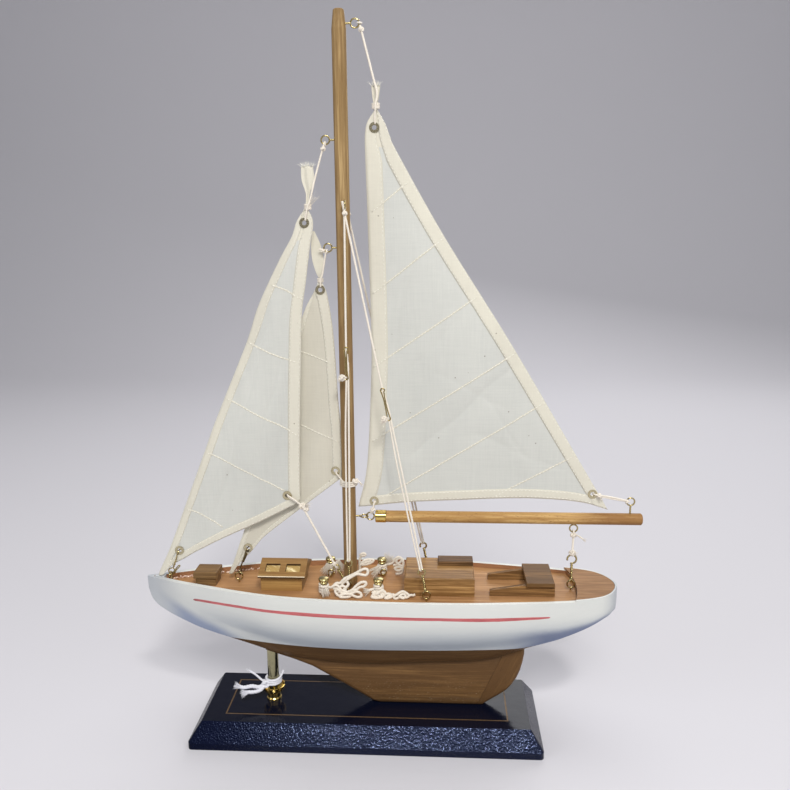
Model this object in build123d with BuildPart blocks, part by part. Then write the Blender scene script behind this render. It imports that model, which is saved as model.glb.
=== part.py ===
from build123d import *
import math
import os

# Decorative model sailing yacht on a stand: two-part hull with keel fin and rudder, deck houses,
# mast and boom, three sails, wire-and-cord rigging.
# Frame: millimetres, origin at the centre of the stand's underside, bow towards -X, stern +X,
# port side -Y, starboard +Y, +Z up.

# ---- driving dimensions -----------------------------------------------------------------
BASE_TOP = (200.0, 53.3)
BASE_BOTTOM = (214.7, 67.6)
BASE_EDGE = 4.2          # vertical lower edge of the base
BASE_H = 15.07

POST_X = -60.5
POST_R, POST_BORE = 3.5, 1.7
POST_TOP = 54.5
FIN_SCREW_X = 40.0
SCREW_R = 1.45
SCREW_HOLE_R = 1.5       # holes for the screws in the hull
SCREW_SPARE = 0.5        # depth left free above a screw's tip
POST_SCREW_TOP, FIN_SCREW_TOP = 65.0, 28.0

BLANK_TOP = 98.7         # height of the hull's section curves before the rims are cut
SHEER_AFT = 97.3         # rim height round the aft deck
SHEER_MAIN = 97.5        # rim height round the main deck, as far aft as SHEER_X
SHEER_X, SHEER_FALL = 42.0, 0.0186   # aft of that the rim falls by this much per millimetre
WATERLINE = 58.8         # level of the seam between the upper and the lower hull
DECK_TOP, DECK_T = 94.0, 1.6
POCKET_Z = DECK_TOP - DECK_T
AFT_DECK_T = 1.0
AFT_Z = SHEER_AFT - AFT_DECK_T
RIM = 2.0                # bulwark thickness
STEP_X, STEP_SAG = 124.0, 3.5   # aft deck's front edge: x at the sides, bow aft in the middle
STEP_HALF = 23.0         # half width of the bowed part of that edge

FIN_T = 9.5              # keel fin and rudder thickness
NOSE_R, TAIL_R = 3.8, 3.0   # rounding of the fin's fore edge and the rudder's aft edge
MAST_X, MAST_R = -9.5, 4.0
MAST_FOOT, MAST_SHOULDER, MAST_TOP = 78.0, 413.0, 423.0
BOOM_R, BOOM_Z = 3.5, 138.6
BOOM_X0, BOOM_X1 = 6.6, 164.8
HINGE_X = 0.9            # boom swings about a vertical line at this x, y = 0

EYE_R, EYE_WIRE, SHANK_R = 2.3, 0.45, 0.55   # screw eye: ring, wire and shank radii
EYE_H = 3.9              # ring centre above the surface it is screwed into
EYE_DEPTH = 6.0
BELAY_DEPTH = 4.0
DRILL_SPARE = 0.2        # depth left free below a deck eye
EYE_HOLE_R = 0.6
LINK = 3.6               # spacing of two linked ring centres
HOOK_L, HOOK_WIRE, HOOK_TOP_R = 14.0, 0.4, 2.0

SAIL_T = 0.6
JIB_Y, STAY_Y, MAIN_Y = -1.6, 2.6, 0.0

# places on deck, (x, y)
BOW_EYE = (-122.7, 0.0)
STAY_EYE = (-79.5, 0.6)
SHROUD_EYES = [(-10.0, -9.5), (-10.0, 9.5), (37.5, -21.0), (37.5, 21.0)]
SHEET_EYE = (124.2, -2.8)
DECK_EYES = [BOW_EYE, STAY_EYE, SHEET_EYE, *SHROUD_EYES]
BELAYS = [(-23.2, 9.3), (9.9, 11.0)]
BOLLARDS = [(-24.0, -14.8), (8.8, -14.8), (-24.0, 15.0), (8.8, 15.0)]
BOLLARD_HOLE_R = 1.05

# (x, half-breadth of the rim)
BREADTH = [
    (-137.4, 0.9), (-136.4, 1.25), (-135, 1.76), (-130, 3.6), (-120, 8.15), (-110, 11.8),
    (-100, 14.9), (-80, 20.8), (-60, 25.6), (-40, 28.6), (-20, 30.7), (0, 31.8), (20, 32.5),
    (40, 32.3), (60, 31.3), (80, 29.3), (100, 27.1), (110, 25.9), (120, 24.35), (130, 22.4),
    (140, 18.9), (146, 14.1), (149.5, 8.6), (151.4, 3.6), (152.2, 1.3)]
# (x, height of the hull's underside on the centreline)
KEEL = [
    (-137.4, 90.4), (-136.9, 88.6), (-136, 84.9), (-134, 80.8), (-131, 77.7), (-127, 75.1),
    (-122, 72.3), (-116, 69.5), (-110, 66.7), (-102, 63.6), (-93.4, 60.9), (-85, 58.6),
    (-78, 56.6), (-71, 54.4), (-63.9, 52.1), (-52.9, 49.2), (-30, 45.2), (0, 44.3), (30, 45.7),
    (60, 47.2), (75, 48.8), (84, 51.0), (91, 53.2), (97, 55.3), (102, 56.9), (107.7, 58.5),
    (113, 60.0), (119, 62.1), (125, 64.7), (130.3, 67.2), (135, 69.7), (139, 72.1),
    (143.3, 74.7), (147.5, 77.0), (150.3, 79.3), (151.8, 80.9), (152.3, 81.7)]
# (share of the section height, share of the rim breadth) midships, at the bow and at the stern
LEVELS = [0.0, 0.08, 0.24, 0.36, 0.56, 0.8, 1.0]
SHAPE_MID = list(zip(LEVELS, [0.21, 0.32, 0.467, 0.64, 0.858, 0.966, 1.0]))
SHAPE_BOW = list(zip(LEVELS, [0.24, 0.295, 0.388, 0.491, 0.675, 0.864, 1.0]))
SHAPE_STERN = list(zip(LEVELS, [0.10, 0.355, 0.648, 0.785, 0.89, 0.945, 1.0]))
# x of the lofted hull sections, and the shares of section height their curves pass through
STATIONS = [
    -137.2, -136.6, -135.6, -134.2, -132.2, -129.6, -126.2, -121.8, -116, -109, -100, -89, -76,
    -60, -42, -20, 5, 30, 54, 74, 88, 99, 108, 116, 123, 129.5, 135.3, 140.2, 144.2, 147.2,
    149.3, 150.8, 151.7, 152.15]
SECTION_LEVELS = (1.0, 0.8, 0.56, 0.36, 0.24, 0.12, 0.0)

ON_BASE = (Align.CENTER, Align.CENTER, Align.MIN)


# ---- hull form --------------------------------------------------------------------------
def interpolate(table, x):
    """Monotone cubic interpolation through a table of (x, value)."""
    last = len(table) - 1
    if x <= table[0][0]:
        return table[0][1]
    if x >= table[-1][0]:
        return table[-1][1]
    i = max(k for k in range(last) if table[k][0] <= x)
    chords = [(after[1] - before[1]) / (after[0] - before[0])
              for before, after in zip(table, table[1:])]

    def slope(k):
        if k == 0:
            return chords[0]
        if k == last:
            return chords[-1]
        before, after = chords[k - 1], chords[k]
        return 0.0 if before * after <= 0 else 2 * before * after / (before + after)

    (x0, value0), (x1, value1) = table[i], table[i + 1]
    step = x1 - x0
    part = (x - x0) / step
    return (value0 * (2 * part**3 - 3 * part**2 + 1)
            + step * slope(i) * (part**3 - 2 * part**2 + part)
            + value1 * (3 * part**2 - 2 * part**3)
            + step * slope(i + 1) * (part**3 - part**2))


def breadth_share(x, level):
    """Share of the rim breadth, blending the midships shape into the bow and stern shapes."""
    bow = min(1.0, max(0.0, (-55 - x) / 65))
    stern = min(1.0, max(0.0, (x - 75) / 60))
    return (interpolate(SHAPE_MID, level) * (1 - bow - stern)
            + interpolate(SHAPE_BOW, level) * bow
            + interpolate(SHAPE_STERN, level) * stern)


def half_breadth(x, z):
    keel = interpolate(KEEL, x)
    level = min(1.0, max(0.0, (z - keel) / (BLANK_TOP - keel)))
    return interpolate(BREADTH, x) * breadth_share(x, level)


def side_points(z, inset, x0, x1, steps=22):
    """Starboard side of the hull outline at height z, moved inwards by inset."""
    points = []
    reach = 0.4   # half the span the slope is measured over
    for i in range(steps + 1):
        x = x0 + (x1 - x0) * (0.5 - 0.5 * math.cos(math.pi * i / steps))
        slope = (half_breadth(x + reach, z) - half_breadth(x - reach, z)) / (2 * reach)
        norm = math.hypot(1, slope)
        points.append((x + inset * slope / norm, half_breadth(x, z) - inset / norm))
    return [point for point in points if point[1] > 0.3]


def hull_outline(z, inset, front, back, round_end=0.0):
    """Closed hull outline at height z, moved inwards by inset, between two x positions."""
    starboard = side_points(z, inset, front, back)
    fore, aft = starboard[0], starboard[-1]
    with BuildSketch(Plane.XY.offset(z)) as outline:
        with BuildLine():
            Spline(*[(x, -y) for x, y in starboard])
            if round_end:
                ThreePointArc((aft[0], -aft[1]), (aft[0] + round_end, 0), aft)
            else:
                Line((aft[0], -aft[1]), aft)
            Spline(*reversed(starboard))
            Line(fore, (fore[0], -fore[1]))
        make_face()
    return outline.sketch


def forward_of_step(z, shift=0.0):
    """Everything forward of the bowed step, as a flat region at height z."""
    x = STEP_X + shift
    with BuildSketch(Plane.XY.offset(z)) as region:
        with BuildLine():
            Polyline((x, STEP_HALF), (x, 40), (-160, 40), (-160, -40), (x, -40), (x, -STEP_HALF))
            ThreePointArc((x, -STEP_HALF), (x + STEP_SAG, 0), (x, STEP_HALF))
        make_face()
    return region.sketch


# ---- shared shapes ----------------------------------------------------------------------
def along(start, end):
    """A plane at start facing end."""
    reach = Vector(*end) - Vector(*start)
    x_dir = Vector(1, 0, 0) if abs(reach.normalized().X) < 0.9 else Vector(0, 1, 0)
    return Plane(origin=start, x_dir=x_dir, z_dir=reach)


def rod(start, end, radius):
    length = (Vector(*end) - Vector(*start)).length
    with BuildPart(along(start, end)) as cord:
        Cylinder(radius, length, align=ON_BASE)
    return cord.part


def tube(points, radius):
    """A cord or wire of round section along a smooth line."""
    with BuildPart() as cord:
        with BuildLine() as path:
            Spline(*points)
        with BuildSketch(Plane(origin=path.line @ 0, z_dir=path.line % 0)):
            Circle(radius)
        sweep()
    return cord.part


def turned(profile, x=0.0, z=0.0):
    """A profile of (radius, height above z) turned about the vertical line at x."""
    with BuildPart() as solid:
        with BuildSketch(Plane.XZ):
            with BuildLine():
                Polyline(*[(radius, z + height) for radius, height in profile], close=True)
            make_face()
        revolve(axis=Axis.Z)
    return solid.part.moved(Location((x, 0, 0)))


def drill(spots, z, radius, depth):
    """Cut upright holes, from z upwards, in the part being built."""
    with Locations(*[(x, y, z) for x, y in spots]):
        Cylinder(radius, depth, align=ON_BASE, mode=Mode.SUBTRACT)


def screw_eye(at, out, across, height=EYE_H, depth=EYE_DEPTH, ring=EYE_R, wire=EYE_WIRE):
    """at: point on the surface; out: way it stands out; across: a direction in the ring's plane."""
    with BuildPart(Plane(origin=at, x_dir=across, z_dir=out)) as eye:
        with Locations(Location((0, 0, height), (90, 0, 0))):
            Torus(ring, wire)
        with Locations((0, 0, -depth)):
            Cylinder(SHANK_R, depth + height - ring, align=ON_BASE)
    return eye.part


def s_hook(at, towards, length=HOOK_L, low=2.2, top=HOOK_TOP_R):
    """A wire hook: lower ring linked in a ring centred at "at", upper loop "length" away."""
    with BuildPart(along(at, towards)) as hook:
        with Locations(Location((0, 0, LINK), (0, 90, 0))):
            Torus(low, HOOK_WIRE)
        with Locations(Location((0, 0, length), (90, 0, 0))):
            Torus(top, HOOK_WIRE)
        with Locations((0, 0, LINK + low)):
            Cylinder(HOOK_WIRE * 1.25, length - top - LINK - low, align=ON_BASE)
    return hook.part


def group(name, solids):
    return Compound(label=name, children=list(solids))


parts = {}

# ---- stand ------------------------------------------------------------------------------
with BuildPart() as base_board:
    with BuildSketch():
        RectangleRounded(*BASE_BOTTOM, 2.5)
    extrude(amount=BASE_EDGE)
    with BuildSketch(Plane.XY.offset(BASE_EDGE)):
        RectangleRounded(*BASE_BOTTOM, 2.5)
    with BuildSketch(Plane.XY.offset(BASE_H)):
        RectangleRounded(*BASE_TOP, 1.2)
    loft()
    # clearance holes for the two screws, counterbored from below
    for screw_x in (POST_X, FIN_SCREW_X):
        drill([(screw_x, 0)], 0, radius=1.6, depth=BASE_H + 1)
        drill([(screw_x, 0)], 0, radius=4.0, depth=3.2)
parts["base_board"] = base_board.part

with BuildPart() as post_tube:
    with Locations((POST_X, 0, BASE_H)):
        Cylinder(POST_R, POST_TOP - BASE_H, align=ON_BASE)
        Cylinder(POST_BORE, POST_TOP - BASE_H, align=ON_BASE, mode=Mode.SUBTRACT)
parts["post_tube"] = post_tube.part

COLLAR_BORE = 3.56       # bore radius of the cup and rosette round the post
CUP_H = 5.0
CUP_PROFILE = [          # (radius, height above the base)
    (COLLAR_BORE, 0), (4.7, 0), (4.7, 0.9), (4.15, 1.6), (4.15, 3.8), (4.5, 4.4), (4.5, CUP_H),
    (COLLAR_BORE, CUP_H)]
parts["post_cup"] = turned(CUP_PROFILE, POST_X, BASE_H)

ROSETTE_PROFILE = [      # (radius, height above the cup)
    (COLLAR_BORE, 0.05), (4.6, 0.05), (5.9, 0.7), (6.9, 2.3), (7.1, 4.2), (6.5, 4.3),
    (6.25, 2.6), (5.4, 1.35), (4.3, 0.8), (COLLAR_BORE, 0.75)]
with BuildPart() as post_rosette:
    add(turned(ROSETTE_PROFILE, z=BASE_H + CUP_H))
    # six gaps between the petals
    with BuildSketch(Plane.XY.offset(BASE_H + CUP_H - 1)):
        with PolarLocations(7.7, 6, start_angle=10):
            Ellipse(2.3, 1.35)
    extrude(amount=8, mode=Mode.SUBTRACT)
parts["post_rosette"] = post_rosette.part.moved(Location((POST_X, 0, 0)))

HEAD_Z, HEAD_R, HEAD_T = 0.9, 3.6, 2.0
screws = []
for screw_x, screw_top in ((POST_X, POST_SCREW_TOP), (FIN_SCREW_X, FIN_SCREW_TOP)):
    with BuildPart() as screw:
        with Locations((screw_x, 0, HEAD_Z)):
            Cylinder(HEAD_R, HEAD_T, align=ON_BASE)
            Cylinder(SCREW_R, screw_top - HEAD_Z, align=ON_BASE)
        # slot across the head
        with Locations((screw_x, 0, HEAD_Z)):
            Box(8, 0.8, 1.6, mode=Mode.SUBTRACT)
    screws.append(screw.part)
parts["stand_screws"] = group("stand_screws", screws)

# string round the post: a ring, a knot and three loose ends
with BuildPart() as post_string:
    with Locations((POST_X, 0, 28.0)):
        Torus(4.7, 1.0)
    with Locations((POST_X - 4.6, -4.8, 26.6)):
        Sphere(2.3)
    add(tube([(-65.5, -5.2, 26.4), (-73, -7.4, 25.2), (-84.5, -8.0, 27.0)], 0.9))
    add(tube([(-65.5, -5.4, 26.0), (-72, -8.4, 23.4), (-80.0, -10.2, 23.7)], 0.9))
    add(tube([(-65.3, -5.0, 27.2), (-69.5, -5.0, 31.5), (-75.0, -4.4, 36.0)], 0.7))
parts["post_string"] = post_string.part

# ---- hull -------------------------------------------------------------------------------
with BuildPart() as hull_blank:
    for station in STATIONS:
        breadth, keel_z = interpolate(BREADTH, station), interpolate(KEEL, station)
        keel_half = breadth * breadth_share(station, 0.0)
        section = [(breadth * breadth_share(station, level),
                    keel_z + level * (BLANK_TOP - keel_z)) for level in SECTION_LEVELS]
        with BuildSketch(Plane(origin=(station, 0, 0), x_dir=(0, 1, 0), z_dir=(1, 0, 0))):
            with BuildLine():
                Line((-breadth, BLANK_TOP), (breadth, BLANK_TOP))
                Spline(*section)
                Line((keel_half, keel_z), (-keel_half, keel_z))
                Spline(*[(-y, z) for y, z in reversed(section)])
            make_face()
    loft()

# fin's fore edge and rudder's aft edge in side view, (x, height)
FORE_EDGE = [
    (8.0, BASE_H), (3.2, 16.2), (-3.2, 20.3), (-13.3, 26.5), (-24.6, 33.1), (-34.9, 39.1),
    (-46.6, 43.7), (-58.0, 47.4), (-64.0, 50.5)]
AFT_EDGE = [
    (69.5, BASE_H), (73.2, 16.3), (77.2, 19.0), (83.3, 23.1), (87.2, 26.2), (90.2, 29.7),
    (93.1, 34.3), (95.3, 39.8), (96.7, 45.3), (97.6, 50.5), (97.8, 55.5)]
JOINT_FOOT, JOINT_LEAN = 68.0, 0.45   # straight joint between them, leaning aft
JOINT_GAP = 0.15
FIN_TOP, RUDDER_TOP = 57, 62          # both end inside the hull blank
# (half thickness of fin and rudder, height): their lower edge is rounded over
FOOT = [(1.75, BASE_H), (2.85, 15.55), (3.8, 16.7), (4.42, 18.7), (4.78, 22.0), (5.1, 26.0)]


def joint_x(z):
    return JOINT_FOOT + JOINT_LEAN * (z - BASE_H)


def in_side_face(edge):
    return abs((edge @ 0).Y - (edge @ 1).Y) < 1e-6


def is_fore_edge(edge):
    return in_side_face(edge) and edge.center().Z < 47.5 and edge.center().X < 5.9


def is_aft_edge(edge):
    middle = edge.center()
    return in_side_face(edge) and middle.Z < 54 and middle.X > max(72, joint_x(middle.Z) + 2)


with BuildPart() as rounded_foot:
    with BuildSketch(Plane.YZ.offset(-90)):
        with BuildLine():
            Spline(*FOOT)
            Polyline(FOOT[-1], (5.3, 70), (-5.3, 70), (-FOOT[-1][0], FOOT[-1][1]))
            Spline(*[(-y, z) for y, z in reversed(FOOT)])
            Line((-FOOT[0][0], FOOT[0][1]), FOOT[0])
        make_face()
    extrude(amount=220)

with BuildPart() as fin:
    with BuildSketch(Plane.XZ):
        with BuildLine():
            Polyline(*FORE_EDGE, (-40, FIN_TOP), (joint_x(FIN_TOP), FIN_TOP),
                     (JOINT_FOOT, BASE_H), close=True)
        make_face()
    extrude(amount=FIN_T / 2, both=True)
    fillet(fin.edges().filter_by(is_fore_edge), radius=NOSE_R)
    add(rounded_foot.part, mode=Mode.INTERSECT)

with BuildPart() as rudder:
    with BuildSketch(Plane.XZ):
        with BuildLine():
            Polyline(*AFT_EDGE, (AFT_EDGE[-1][0], RUDDER_TOP),
                     (joint_x(RUDDER_TOP) + JOINT_GAP, RUDDER_TOP),
                     (JOINT_FOOT + JOINT_GAP, BASE_H), close=True)
        make_face()
    extrude(amount=FIN_T / 2, both=True)
    fillet(rudder.edges().filter_by(is_aft_edge), radius=TAIL_R)
    add(rounded_foot.part, mode=Mode.INTERSECT)
    add(hull_blank.part, mode=Mode.SUBTRACT)
parts["rudder"] = rudder.part

with BuildPart() as hull_lower:
    add(hull_blank.part)
    split(bisect_by=Plane.XY.offset(WATERLINE), keep=Keep.BOTTOM)
    add(fin.part)
    split(bisect_by=Plane.XY.offset(WATERLINE), keep=Keep.BOTTOM)
    # socket for the post, with its screw hole running on through, and the fin's screw hole
    drill([(POST_X, 0)], 30, radius=POST_R + 0.05, depth=POST_TOP + 0.1 - 30)
    drill([(POST_X, 0)], 30, radius=SCREW_HOLE_R, depth=40)
    drill([(FIN_SCREW_X, 0)], 10, radius=SCREW_HOLE_R, depth=FIN_SCREW_TOP + SCREW_SPARE - 10)
parts["hull_lower"] = hull_lower.part

with BuildPart() as above_sheer:
    with BuildSketch(Plane.XZ):
        with BuildLine():
            Polyline((-160, SHEER_MAIN), (SHEER_X, SHEER_MAIN),
                     (140, SHEER_MAIN - SHEER_FALL * (140 - SHEER_X)),
                     (140, 110), (-160, 110), close=True)
        make_face()
    extrude(amount=39, both=True)
    with BuildSketch(Plane.XY.offset(90)):
        add(forward_of_step(90))
    extrude(amount=25, mode=Mode.INTERSECT)

with BuildPart() as hull_upper:
    add(hull_blank.part)
    split(bisect_by=Plane.XY.offset(WATERLINE), keep=Keep.TOP)
    # the rim forward of the bowed step follows the falling sheer; the aft deck's rim is level
    add(above_sheer.part, mode=Mode.SUBTRACT)
    with Locations((60, 0, SHEER_AFT)):
        Box(120, 90, 10, align=(Align.MIN, Align.CENTER, Align.MIN), mode=Mode.SUBTRACT)
    # pocket for the main deck, and a shallow one for the aft deck
    with BuildSketch(Plane.XY.offset(POCKET_Z)):
        add(hull_outline(POCKET_Z, RIM, -127.0, 134.0))
        add(forward_of_step(POCKET_Z), mode=Mode.INTERSECT)
    extrude(amount=SHEER_MAIN - POCKET_Z + 1, mode=Mode.SUBTRACT)
    with BuildSketch(Plane.XY.offset(AFT_Z)):
        add(hull_outline(AFT_Z, 0.8, 112.0, 151.0, 0.6))
    extrude(amount=3, mode=Mode.SUBTRACT)
    # holes for the mast, the post's screw, the deck eyes, the belaying eyes and the bollards
    drill([(MAST_X, 0)], MAST_FOOT, radius=MAST_R + 0.05, depth=30)
    drill([(POST_X, 0)], 50, radius=SCREW_HOLE_R, depth=POST_SCREW_TOP + SCREW_SPARE - 50)
    drill(DECK_EYES, DECK_TOP - EYE_DEPTH - DRILL_SPARE, radius=EYE_HOLE_R, depth=10)
    drill(BELAYS, DECK_TOP - BELAY_DEPTH - DRILL_SPARE, radius=EYE_HOLE_R, depth=8)
    drill(BOLLARDS, 88.9, radius=BOLLARD_HOLE_R, depth=8)
parts["hull_upper"] = hull_upper.part

with BuildPart() as main_deck:
    with BuildSketch(Plane.XY.offset(POCKET_Z)):
        add(hull_outline(POCKET_Z, RIM + 0.1, -126.8, 134.0))
        add(forward_of_step(POCKET_Z, -0.1), mode=Mode.INTERSECT)
    extrude(amount=DECK_T)
    drill([(MAST_X, 0)], 90, radius=MAST_R + 0.1, depth=10)
    drill(DECK_EYES + BELAYS, 90, radius=EYE_HOLE_R, depth=10)
    drill(BOLLARDS, 90, radius=BOLLARD_HOLE_R, depth=10)
parts["main_deck"] = main_deck.part

with BuildPart() as aft_deck:
    with BuildSketch(Plane.XY.offset(AFT_Z)):
        add(hull_outline(AFT_Z, 0.95, 112.0, 150.8, 0.6))
        add(forward_of_step(AFT_Z, 0.02), mode=Mode.SUBTRACT)
    extrude(amount=AFT_DECK_T)
parts["aft_deck"] = aft_deck.part

# ---- deck houses ------------------------------------------------------------------------
HOUSE_WALL = 2.0         # wall thickness of the skylight and the cabin trunk

FORE_HATCH_H = 5.0
with BuildPart() as fore_hatch_body:
    with Locations((-98.8, 0, DECK_TOP)):
        Box(12.6, 11.6, FORE_HATCH_H, align=ON_BASE)
    chamfer(fore_hatch_body.edges().filter_by(Axis.Z), length=0.3)
parts["fore_hatch_body"] = fore_hatch_body.part

with BuildPart() as fore_hatch_lid:
    with Locations((-98.9, 0, DECK_TOP + FORE_HATCH_H)):
        Box(14.6, 13.2, 4.0, align=ON_BASE)
    fillet(fore_hatch_lid.edges().group_by(Axis.Z)[-1], radius=0.7)
parts["fore_hatch_lid"] = fore_hatch_lid.part

SKY_X0, SKY_X1, SKY_HALF, SKY_TOP = -63.2, -38.0, 11.0, 103.3
SKY_L, SKY_H = SKY_X1 - SKY_X0, SKY_TOP - DECK_TOP
with BuildPart() as skylight_body:
    with Locations(((SKY_X0 + SKY_X1) / 2, 0, DECK_TOP)):
        Box(SKY_L, 2 * SKY_HALF, SKY_H, align=ON_BASE)
        Box(SKY_L - 2 * HOUSE_WALL, 2 * (SKY_HALF - HOUSE_WALL), SKY_H, align=ON_BASE,
            mode=Mode.SUBTRACT)
parts["skylight_body"] = skylight_body.part

ROOF_X0, ROOF_X1 = -64.4, -35.8
EAVE_Y, EAVE_TOP = 13.6, SKY_TOP + 0.9
RIDGE_HALF, RIDGE_Z = 0.4, 110.4
WINDOW_XS = (-56.35, -43.85)   # two windows in each slope
WINDOW, PANE = (8.7, 6.2), (8.6, 6.1)
PANE_DROP = 2.0                # underside of the panes below the roof's slope
rise = math.atan2(RIDGE_Z - EAVE_TOP, EAVE_Y - RIDGE_HALF)
slopes = [
    Plane(origin=(0, side * (EAVE_Y + RIDGE_HALF) / 2, (RIDGE_Z + EAVE_TOP) / 2),
          x_dir=(1, 0, 0), z_dir=(0, side * math.sin(rise), math.cos(rise)))
    for side in (-1, 1)]

with BuildPart() as skylight_roof:
    with BuildSketch(Plane(origin=(ROOF_X0, 0, 0), x_dir=(0, 1, 0), z_dir=(1, 0, 0))):
        with BuildLine():
            Polyline((-EAVE_Y, SKY_TOP), (EAVE_Y, SKY_TOP), (EAVE_Y, EAVE_TOP),
                     (RIDGE_HALF, RIDGE_Z), (-RIDGE_HALF, RIDGE_Z), (-EAVE_Y, EAVE_TOP),
                     close=True)
        make_face()
    extrude(amount=ROOF_X1 - ROOF_X0)
    for slope_plane in slopes:
        with BuildSketch(slope_plane.offset(-PANE_DROP)):
            for window_x in WINDOW_XS:
                with Locations((window_x, 0)):
                    Rectangle(*WINDOW)
        extrude(amount=4, mode=Mode.SUBTRACT)
parts["skylight_roof"] = skylight_roof.part

panes = []
for slope_plane in slopes:
    for window_x in WINDOW_XS:
        with BuildPart() as pane:
            with BuildSketch(slope_plane.offset(-PANE_DROP)):
                with Locations((window_x, 0)):
                    Rectangle(*PANE)
            extrude(amount=0.4)
        panes.append(pane.part)
parts["skylight_panes"] = group("skylight_panes", panes)

CABIN_L, CABIN_W, CABIN_TOP = 41.8, 31.4, 105.2
CABIN_H = CABIN_TOP - DECK_TOP
CABIN_PLACE = (45.0, 1.2, DECK_TOP)
with BuildPart() as cabin_trunk:
    with Locations(CABIN_PLACE):
        Box(CABIN_L, CABIN_W, CABIN_H, align=ON_BASE)
    fillet(cabin_trunk.edges().group_by(Axis.Z)[-1], radius=0.9)
    with Locations(CABIN_PLACE):
        Box(CABIN_L - 2 * HOUSE_WALL, CABIN_W - 2 * HOUSE_WALL, CABIN_H - HOUSE_WALL,
            align=ON_BASE, mode=Mode.SUBTRACT)
parts["cabin_trunk"] = cabin_trunk.part

HATCH_X, HATCH_Y, HATCH_L, HATCH_W = 54.9, 9.6, 21.6, 9.6
with BuildPart() as cabin_hatch:
    with Locations((HATCH_X, HATCH_Y, CABIN_TOP)):
        Box(HATCH_L, HATCH_W, 2.5, align=ON_BASE)
    chamfer(cabin_hatch.edges().group_by(Axis.Z)[-1], length=0.4)
    # grooves along the long sides
    with Locations(*[(HATCH_X, HATCH_Y + side * HATCH_W / 2, CABIN_TOP + 0.9)
                     for side in (-1, 1)]):
        Box(HATCH_L, 0.8, 0.5, mode=Mode.SUBTRACT)
parts["cabin_hatch"] = cabin_hatch.part

SEAT_Z = 101.0
COAMING_X0, COAMING_X1, COAMING_T = 75.0, 113.4, 2.6
for side, coaming_y in (("port", -12.6), ("starboard", 9.6)):
    with BuildPart() as coaming:
        with BuildSketch(Plane(origin=(0, coaming_y + COAMING_T, 0), x_dir=(1, 0, 0),
                               z_dir=(0, -1, 0))):
            with BuildLine():
                Polyline((COAMING_X0, DECK_TOP), (COAMING_X1, DECK_TOP), (COAMING_X1, SEAT_Z),
                         (96.0, SEAT_Z), (COAMING_X0, DECK_TOP + 3.4), close=True)
            make_face()
        extrude(amount=COAMING_T)
    parts["coaming_" + side] = coaming.part

with BuildPart() as helm_seat:
    with Locations((104.7, -0.1, SEAT_Z)):
        Box(16.6, 28.8, 2.2, align=ON_BASE)
    fillet(helm_seat.edges().group_by(Axis.Z)[-1], radius=0.4)
parts["helm_seat"] = helm_seat.part

# ---- spars ------------------------------------------------------------------------------
SPAR_EYE_DEPTH = 3.0
GOOSENECK_H = 5.1        # gooseneck ring centre over the mast's surface
MAST_EYES = [  # height, way the eye stands out, height of the ring centre over the surface
    (415.8, (1, 0, 0), 4.9),
    (356.5, (-1, 0, 0), 4.8),
    (298.3, (-1, 0, 0), 4.9),
    (321.5, (0.25, -0.968, 0), 3.3),
    (321.5, (0.25, 0.968, 0), 3.3),
]
MAST_PROFILE = [         # (radius, height)
    (0, MAST_FOOT), (MAST_R, MAST_FOOT), (MAST_R, MAST_SHOULDER),
    (MAST_R - 0.6, MAST_SHOULDER + 6), (MAST_R - 1.0, MAST_TOP - 0.5),
    (MAST_R - 1.6, MAST_TOP), (0, MAST_TOP)]
with BuildPart() as mast:
    add(turned(MAST_PROFILE, MAST_X))
    for eye_z, out, _ in MAST_EYES + [(BOOM_Z, (1, 0, 0), GOOSENECK_H)]:
        with Locations(Plane(origin=(MAST_X, 0, eye_z), z_dir=out)):
            Cylinder(EYE_HOLE_R, 10, align=ON_BASE, mode=Mode.SUBTRACT)
parts["mast"] = mast.part

eyes = []
for eye_z, out, eye_h in MAST_EYES:
    # the mast tapers above its shoulder
    surface_r = MAST_R - 0.28 if eye_z > MAST_SHOULDER else MAST_R
    norm = math.hypot(out[0], out[1])
    at = (MAST_X + surface_r * out[0] / norm, surface_r * out[1] / norm, eye_z)
    eyes.append(screw_eye(at, out, (0, 0, 1), height=eye_h, depth=SPAR_EYE_DEPTH))
parts["mast_rigging_eyes"] = group("mast_rigging_eyes", eyes)

# gooseneck: a flat-lying eye in the mast linked with an upright eye in the end of the boom
parts["gooseneck_mast_eye"] = screw_eye(
    (MAST_X + MAST_R, 0, BOOM_Z), (1, 0, 0), (0, 1, 0), height=GOOSENECK_H, depth=SPAR_EYE_DEPTH)
parts["gooseneck_boom_eye"] = screw_eye(
    (BOOM_X0, 0, BOOM_Z), (-1, 0, 0), (0, 0, 1), height=BOOM_X0 - HINGE_X - EYE_R, depth=7.0)

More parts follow.
